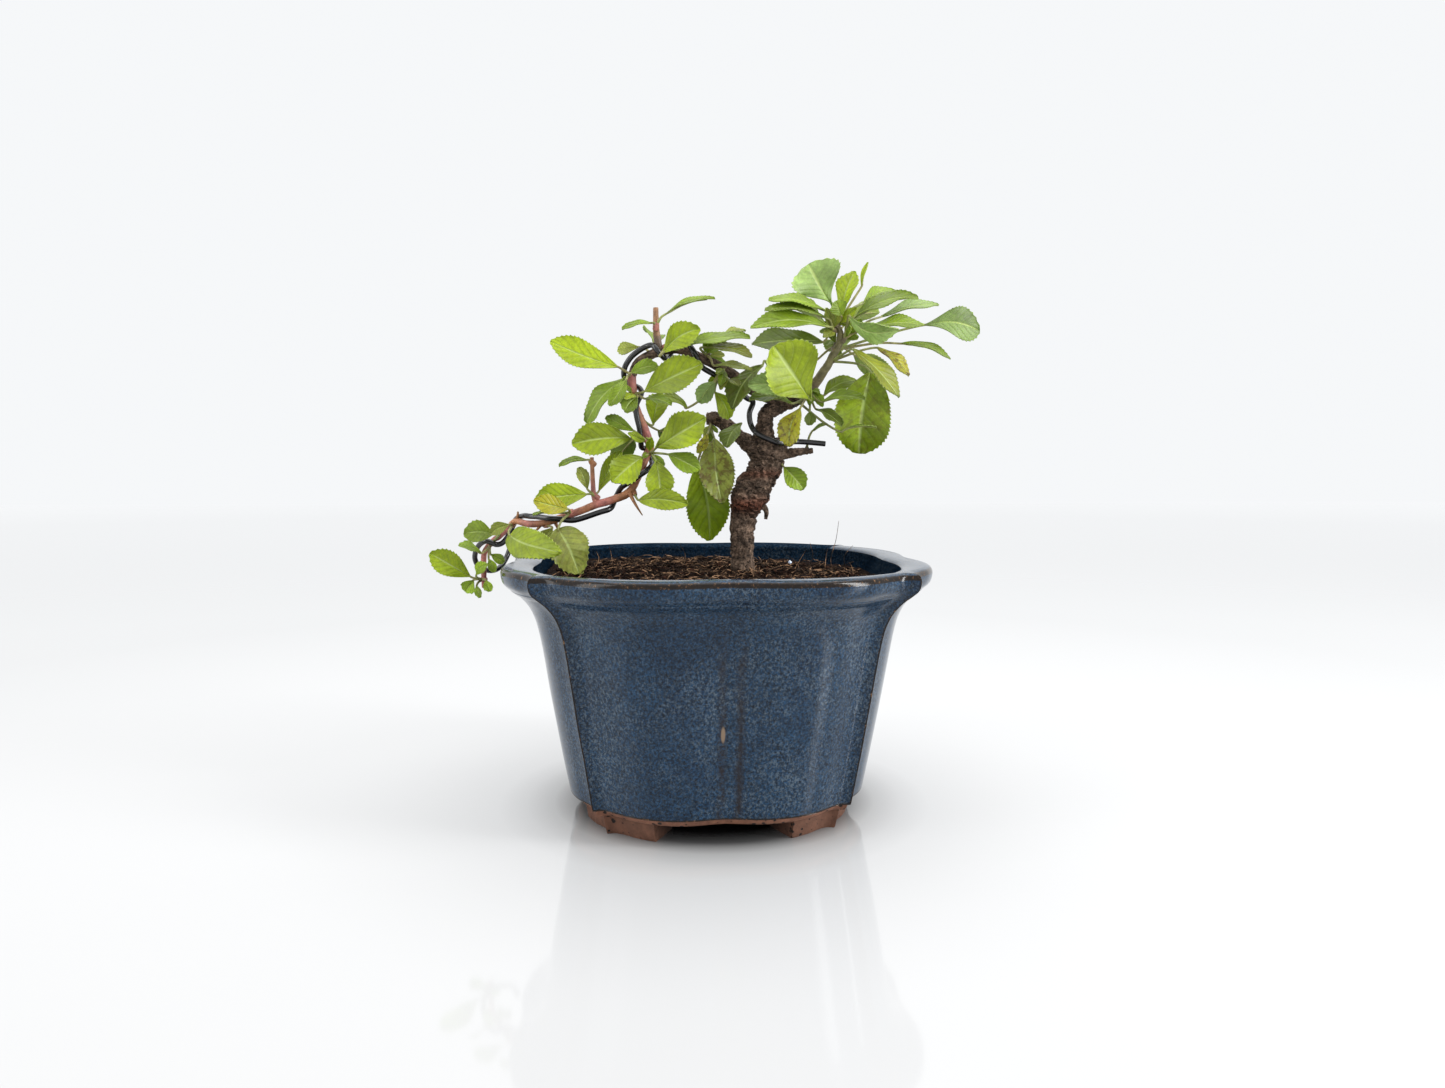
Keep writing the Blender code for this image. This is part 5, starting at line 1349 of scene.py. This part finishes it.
def add_blade(shape, base, tip, width, face, tint, outline, rng):
    """One toothed blade, folded along its rib, arched, with a wavy edge and a drooping tip, and one half
    painted lighter than the other as the fold's light and shade.
    """
    length = (tip - base).length
    along, up, across = leaf_frame(base, tip, face)
    skew, fullness, wider = outline
    rows = ROWS_A_TOOTH * max(FEWEST_TEETH, round(length / TOOTH))
    fold = FOLD * rng.uniform(0.6, 1.5)
    wave = rng.uniform(0.03, 0.08) * width
    phase = rng.uniform(0, 6)
    sway = rng.uniform(-0.07, 0.07) * length
    painted_half_shade = rng.choice((-1, 1)) * HALF_LEAF_PAINTED_SHADE
    points = []
    flat = []
    tints = []
    for k in range(rows + 1):
        t = k / rows
        share = max(half_width(min(max(t, 0.004), 0.996), skew, fullness), NARROWEST)
        reach = 0.5 * FULLER * wider * width * share
        saw = (k % ROWS_A_TOOTH) / 2 if t > TEETH_FROM else 0.4
        bite = min(DEEPEST_BITE, BITE * width) * (1 - saw)
        for s in ACROSS:
            edge = abs(s) == 1
            reach_here = reach - (bite if edge else 0)
            spot = base + along * (length * t + (0.3 * saw if edge else 0))
            spot += across * (s * reach_here + sway * math.sin(math.pi * t))
            rise = arch_of(face) * length * math.sin(math.pi * t) + fold * reach * abs(s) ** 1.4
            rise += wave * math.sin(t * 11 + phase + (1.5 if s > 0 else 0)) * s * s
            rise -= RIB_DIP * math.exp(-(s / RIB_HALF) ** 2)
            points.append(spot + up * rise)
            flat.append((0.5 + 0.5 * s, t))
            # Painted light and shade: one half of the blade lighter, the other darker
            light = 1 + 0.12 * uneven(spot, 6.0) + painted_half_shade * smooth_step(-0.1, 0.1, s) - 0.5 * painted_half_shade
            tints.append((*(c * light for c in tint[:3]), tint[3]))
    top, under, sides = blade_faces(rows)
    below = [p - up * BLADE_THICK for p in points]
    slots = [0] * len(top) + [1] * len(under) + [0] * len(sides)
    shape.add(points + below, top + under + sides, slots, flat + flat, tints + tints)


def add_stalk(shape, root, base, tip, face, lean, tint):
    """The stalk bends from the spur to the blade and runs on under the rib."""
    along, up = leaf_frame(base, tip, face)[:2]
    bend = root.lerp(base, 0.55) + (base - root).length * 0.12 * (lean - along * 0.5)
    if along.dot((base - root).normalized()) < 0:
        bend = base - (along + up * 0.6) * 1.8
    length = (tip - base).length
    path = [root, bend, base - up * 0.25]
    for t in (0.15, 0.35, 0.6, 0.85):
        path.append(base + along * length * t + up * (arch_of(face) * length * math.sin(math.pi * t) - 0.5))
    path = curve_through(path, 5)
    radii = [STALK_RADIUS * (1.0 - STALK_TAPER * (k / (len(path) - 1))) for k in range(len(path))]
    points, faces = tube(path, radii, STALK_SIDES)
    shape.add(points, faces, 2, tints=[tint] * len(points))


def add_young(shape, name, root, lean, settings, rng):
    """Small new leaves that crowd the growing point, kept inside the shoot's own box."""
    low, high = ((Vector(corner) - POT_MIDDLE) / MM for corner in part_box(name))
    wanted = YOUNG.get(name, 0)
    for _ in range(YOUNG_TRIES):
        if not wanted:
            return
        way = (Vector((rng.uniform(-1, 1), rng.uniform(-1, 1), rng.uniform(-1, 1))) + 0.6 * lean).normalized()
        base = root + way
        tip = root + way * rng.uniform(5.0, 10.0)
        if all(low[k] + 1 < spot[k] < high[k] - 1 for spot in (base, tip) for k in range(3)):
            tint = (*getattr(settings, rng.choice(("lime", "green", "pale"))), 1)
            face = (EYE - root).normalized() + UP * rng.uniform(0.2, 1.0)
            add_blade(shape, base, tip, YOUNG_WIDTH * (tip - base).length, face, tint, YOUNG_OUTLINE, rng)
            wanted -= 1


def make_shoot(name, root, leaves, settings, looks):
    """One shoot: its spur on the wood, its leaves with their stalks, and its small new leaves."""
    rng = random.Random(name)
    root = seen(*root)
    ends = [(seen(*leaf[0]), seen(*leaf[1])) for leaf in leaves]
    lean = sum((base - root for base, tip in ends), Vector()).normalized()
    shape = Shape()
    spur = curve_through([root - lean * SPUR_REACH, root, root + lean * SPUR_REACH], 4)
    radii = [SPUR_RADIUS * (0.92 - 0.4 * (k / (len(spur) - 1)) ** 2) for k in range(len(spur))]
    points, faces = tube(spur, radii, SPUR_SIDES, bark_swell(1.2, 0.16))
    if root.x > CROWN_FROM:
        bark = blend_tints(0.5, settings.branch_brown, settings.stem_olive)
    else:
        bark = stem_tint(settings, 0.85, root)
    shape.add(points, faces, 2, tints=[bark] * len(points))
    for number, ((base, tip), (_, _, width, face, kind)) in enumerate(zip(ends, leaves)):
        leaf = (name, number)
        light = rng.uniform(0.84, 1.18) * SHADES.get(leaf, 1.0)
        tint = (*(c * light for c in getattr(settings, kind)), 1 - SPOTTED.get(leaf, 0))
        add_blade(shape, base, tip, width, face, tint, OUTLINES.get(leaf, PLAIN_OUTLINE), rng)
        stalk = blend_tints(rng.uniform(0.0, 0.24), settings.stalk_green, settings.stem_pink)
        add_stalk(shape, root, base, tip, face, lean, stalk)
    add_young(shape, name, root, lean, settings, rng)
    made = shape.finish(name.replace("shoot", "leaves"), looks)
    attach(made, "root")
    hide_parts(name)


# Stage


def add_light(name, spot, aim, size, power):
    """A soft lamp that looks from its spot at its aim, in metres."""
    lamp = bpy.data.lights.new(name, "AREA")
    lamp.shape = "RECTANGLE"
    lamp.size, lamp.size_y = size
    lamp.energy = power
    made = link_object(name, lamp)
    made.location = spot
    made.rotation_euler = (Vector(aim) - Vector(spot)).to_track_quat("-Z", "Y").to_euler()


def make_floor(settings):
    """A pale polished floor that glows as painted light, and is dark, with no glow, only right under the pot,
    as painted shadow.
    """
    shape = bmesh.new()
    bmesh.ops.create_grid(shape, x_segments=1, y_segments=1, size=FLOOR_HALF)
    mesh = bpy.data.meshes.new("pale_floor")
    shape.to_mesh(mesh)
    shape.free()
    look = Look("pale_floor", roughness=settings.floor_roughness, emission_color=(1, 1, 1, 1))
    # Painted light: the floor glows, less close to the pot, where the fading glow is painted shadow
    far = look.sums("DIVIDE", look.distance_from(POT_MIDDLE), FLOOR_REACH)
    look.feed("Emission Strength", look.times(look.ramp(far, *PAINTED_FLOOR_LIGHT), settings.painted_floor_light))
    # Painted shadow: the floor's colour turns near black right under the pot
    mesh.materials.append(look.finished(look.ramp(far, (0.018, 0.02), (0.024, settings.floor_colour))))
    link_object("pale_floor", mesh)


def make_stage(settings):
    scene = bpy.context.scene
    scene.view_settings.view_transform = "Standard"
    world = bpy.data.worlds.new("white_room")
    world.use_nodes = True
    room = world.node_tree.nodes["Background"].inputs
    room["Color"].default_value = ROOM_WHITE
    room["Strength"].default_value = settings.room_light
    scene.world = world
    make_floor(settings)
    for name, spot, aim, size, power in LAMPS:
        add_light(name, spot, aim, size, power * settings.lamp_power)
    lens = bpy.data.cameras.new("eye")
    lens.lens = LENS
    lens.sensor_width = 36.0
    lens.clip_start = 0.01
    eye = link_object("eye", lens)
    eye.location = place(Matrix.Rotation(TREE_TURN, 3, "Z") @ EYE)
    eye.rotation_euler = (math.pi / 2 + EYE_PITCH, 0, TREE_TURN)
    scene.camera = eye


# Settings, operators and panel


def colour_of(label, about, default):
    return bpy.props.FloatVectorProperty(name=label, description=about, subtype="COLOR", min=0, max=1,
                                         default=default)


def number_of(label, about, default, **limits):
    return bpy.props.FloatProperty(name=label, description=about, default=default, min=0, **limits)


class PotSettings(bpy.types.PropertyGroup):
    glaze_deep: colour_of("Deep glaze", "Darkest blue of the glaze", (0.003, 0.011, 0.028))
    glaze_pale: colour_of("Pale glaze", "Palest slate blue of the glaze", (0.010, 0.034, 0.070))
    frost_colour: colour_of("Frost", "Grey-blue grain of the glaze", (0.096, 0.132, 0.168))
    chip_colour: colour_of("Chip", "Bare spot on the front", (0.200, 0.140, 0.095))
    edge_colour: colour_of("Worn edge", "Brown where the glaze runs thin", (0.200, 0.105, 0.045))
    clay_colour: colour_of("Clay", "Bare clay of the feet", (0.195, 0.085, 0.050))


class SoilSettings(bpy.types.PropertyGroup):
    colour: colour_of("Peat", "Middle brown of the soil", (0.018, 0.008, 0.005))
    fibre_colour: colour_of("Fibre", "Palest brown of the coir", (0.300, 0.175, 0.100))
    crumbs: number_of("Crumbs", "Crumbs per square metre", 150000)
    fibres: number_of("Fibres", "Fibres per square metre", 90000)


class TreeSettings(bpy.types.PropertyGroup):
    bark_grey: colour_of("Grey bark", "Trunk bark", (0.150, 0.102, 0.072))
    bark_red: colour_of("Red bark", "Rings on the trunk", (0.180, 0.068, 0.040))
    branch_brown: colour_of("Brown bark", "Old branches", (0.120, 0.076, 0.050))
    stem_pink: colour_of("Pink stem", "Young stems", (0.400, 0.140, 0.120))
    stem_orange: colour_of("Orange stem", "Young stems", (0.420, 0.180, 0.080))
    twig_tan: colour_of("Tan twig", "Cut twig on the arch", (0.300, 0.150, 0.070))
    stem_olive: colour_of("Olive stem", "Stem under the crown", (0.170, 0.150, 0.060))
    stalk_green: colour_of("Stalk", "Leaf stalks", (0.260, 0.300, 0.090))
    vein_colour: colour_of("Veins", "Rib and side veins", (0.430, 0.520, 0.170))
    under_colour: colour_of("Underside", "Lower face of the leaves", (0.250, 0.300, 0.100))
    lime: colour_of("Lime", "Yellow-green leaves", (0.255, 0.330, 0.010))
    green: colour_of("Green", "Mid green leaves", (0.160, 0.235, 0.012))
    grass: colour_of("Grass", "Fresh green leaves", (0.180, 0.245, 0.010))
    teal: colour_of("Teal", "Cool pale leaves", (0.225, 0.320, 0.090))
    olive: colour_of("Olive", "Dull leaves", (0.160, 0.180, 0.014))
    pale: colour_of("Pale", "Pale leaves", (0.240, 0.270, 0.040))
    deep: colour_of("Dark", "Dark leaves", (0.095, 0.130, 0.014))
    gold: colour_of("Gold", "Yellowing leaves", (0.320, 0.300, 0.016))
    spot_colour: colour_of("Spots", "Brown spots on tired leaves", (0.100, 0.048, 0.014))
    glow: number_of("Glow", "Light that passes through a leaf", 0.12, max=1)


class StageSettings(bpy.types.PropertyGroup):
    room_light: number_of("Room", "Strength of the room's light", 0.95)
    lamp_power: number_of("Lamps", "Strength of the soft lamps", 0.5)
    floor_colour: colour_of("Floor", "Pale floor", (0.42, 0.42, 0.42))
    # Painted light: the strength of the floor's glow
    painted_floor_light: number_of("Floor glow", "Light the floor gives", 0.3)
    floor_roughness: number_of("Polish", "Roughness of the floor", 0.06, max=1)


class BONSAI_OT_pot(bpy.types.Operator):
    """Build the lobed pot with its glaze, edges where it wore thin, and bare clay feet"""
    bl_idname = "bonsai.pot"
    bl_label = "Pot"

    def execute(self, context):
        make_pot(context.scene.bonsai_pot)
        return {"FINISHED"}


class BONSAI_OT_screen(bpy.types.Operator):
    """Finish the screen over the drain hole"""
    bl_idname = "bonsai.screen"
    bl_label = "Drain screen"

    def execute(self, context):
        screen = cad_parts["drain_mesh"]
        screen.data.materials.clear()
        screen.data.materials.append(plain_look("black_drain_mesh", (0.02, 0.02, 0.02), 0.6))
        return {"FINISHED"}


class BONSAI_OT_soil(bpy.types.Operator):
    """Build the soil with its crumbs, coir fibres and root hairs"""
    bl_idname = "bonsai.soil"
    bl_label = "Soil"

    def execute(self, context):
        settings = context.scene.bonsai_soil
        soil = make_soil(settings)
        make_litter(settings, soil)
        make_hairs(settings)
        return {"FINISHED"}


class BONSAI_OT_wood(bpy.types.Operator):
    """Build the trunk, the limbs and the young stems"""
    bl_idname = "bonsai.wood"
    bl_label = "Wood"

    def execute(self, context):
        make_wood(context.scene.bonsai_tree)
        return {"FINISHED"}


class BONSAI_OT_wire(bpy.types.Operator):
    """Wind the training wire round the long branch"""
    bl_idname = "bonsai.wire"
    bl_label = "Wire"

    def execute(self, context):
        make_wire()
        return {"FINISHED"}


class BONSAI_OT_leaves(bpy.types.Operator):
    """Build every shoot with its stalks and toothed leaves"""
    bl_idname = "bonsai.leaves"
    bl_label = "Leaves"

    def execute(self, context):
        settings = context.scene.bonsai_tree
        looks = [leaf_look("leaf_upper", settings, "upper"), leaf_look("leaf_under", settings, "under"),
                 stem_look()]
        for name, (root, leaves) in SHOOTS.items():
            make_shoot(name, root, leaves, settings, looks)
        return {"FINISHED"}


class BONSAI_OT_stage(bpy.types.Operator):
    """Set the pale floor, the soft lamps and the camera"""
    bl_idname = "bonsai.stage"
    bl_label = "Stage"

    def execute(self, context):
        make_stage(context.scene.bonsai_stage)
        return {"FINISHED"}


OPERATORS = (BONSAI_OT_pot, BONSAI_OT_screen, BONSAI_OT_soil, BONSAI_OT_wood, BONSAI_OT_wire,
             BONSAI_OT_leaves, BONSAI_OT_stage)
SETTINGS = {"bonsai_pot": PotSettings, "bonsai_soil": SoilSettings, "bonsai_tree": TreeSettings,
            "bonsai_stage": StageSettings}


class VIEW3D_PT_bonsai(bpy.types.Panel):
    """Sizes, colours and buttons for the bonsai"""
    bl_label = "Potted bonsai"
    bl_space_type = "VIEW_3D"
    bl_region_type = "UI"
    bl_category = "Bonsai"

    def draw(self, context):
        for operator in OPERATORS:
            self.layout.operator(operator.bl_idname)
        for name, group in SETTINGS.items():
            box = self.layout.box()
            settings = getattr(context.scene, name)
            for label in group.__annotations__:
                box.prop(settings, label)


def register():
    for group in SETTINGS.values():
        bpy.utils.register_class(group)
    for operator in OPERATORS:
        bpy.utils.register_class(operator)
    bpy.utils.register_class(VIEW3D_PT_bonsai)
    for name, group in SETTINGS.items():
        setattr(bpy.types.Scene, name, bpy.props.PointerProperty(type=group))


def unregister():
    for name in SETTINGS:
        delattr(bpy.types.Scene, name)
    bpy.utils.unregister_class(VIEW3D_PT_bonsai)
    for group in (*OPERATORS, *SETTINGS.values()):
        bpy.utils.unregister_class(group)


def main():
    register()
    bpy.ops.bonsai.pot()
    bpy.ops.bonsai.screen()
    bpy.ops.bonsai.soil()
    bpy.ops.bonsai.wood()
    bpy.ops.bonsai.wire()
    bpy.ops.bonsai.leaves()
    bpy.ops.bonsai.stage()


if __name__ == "__main__":
    main()
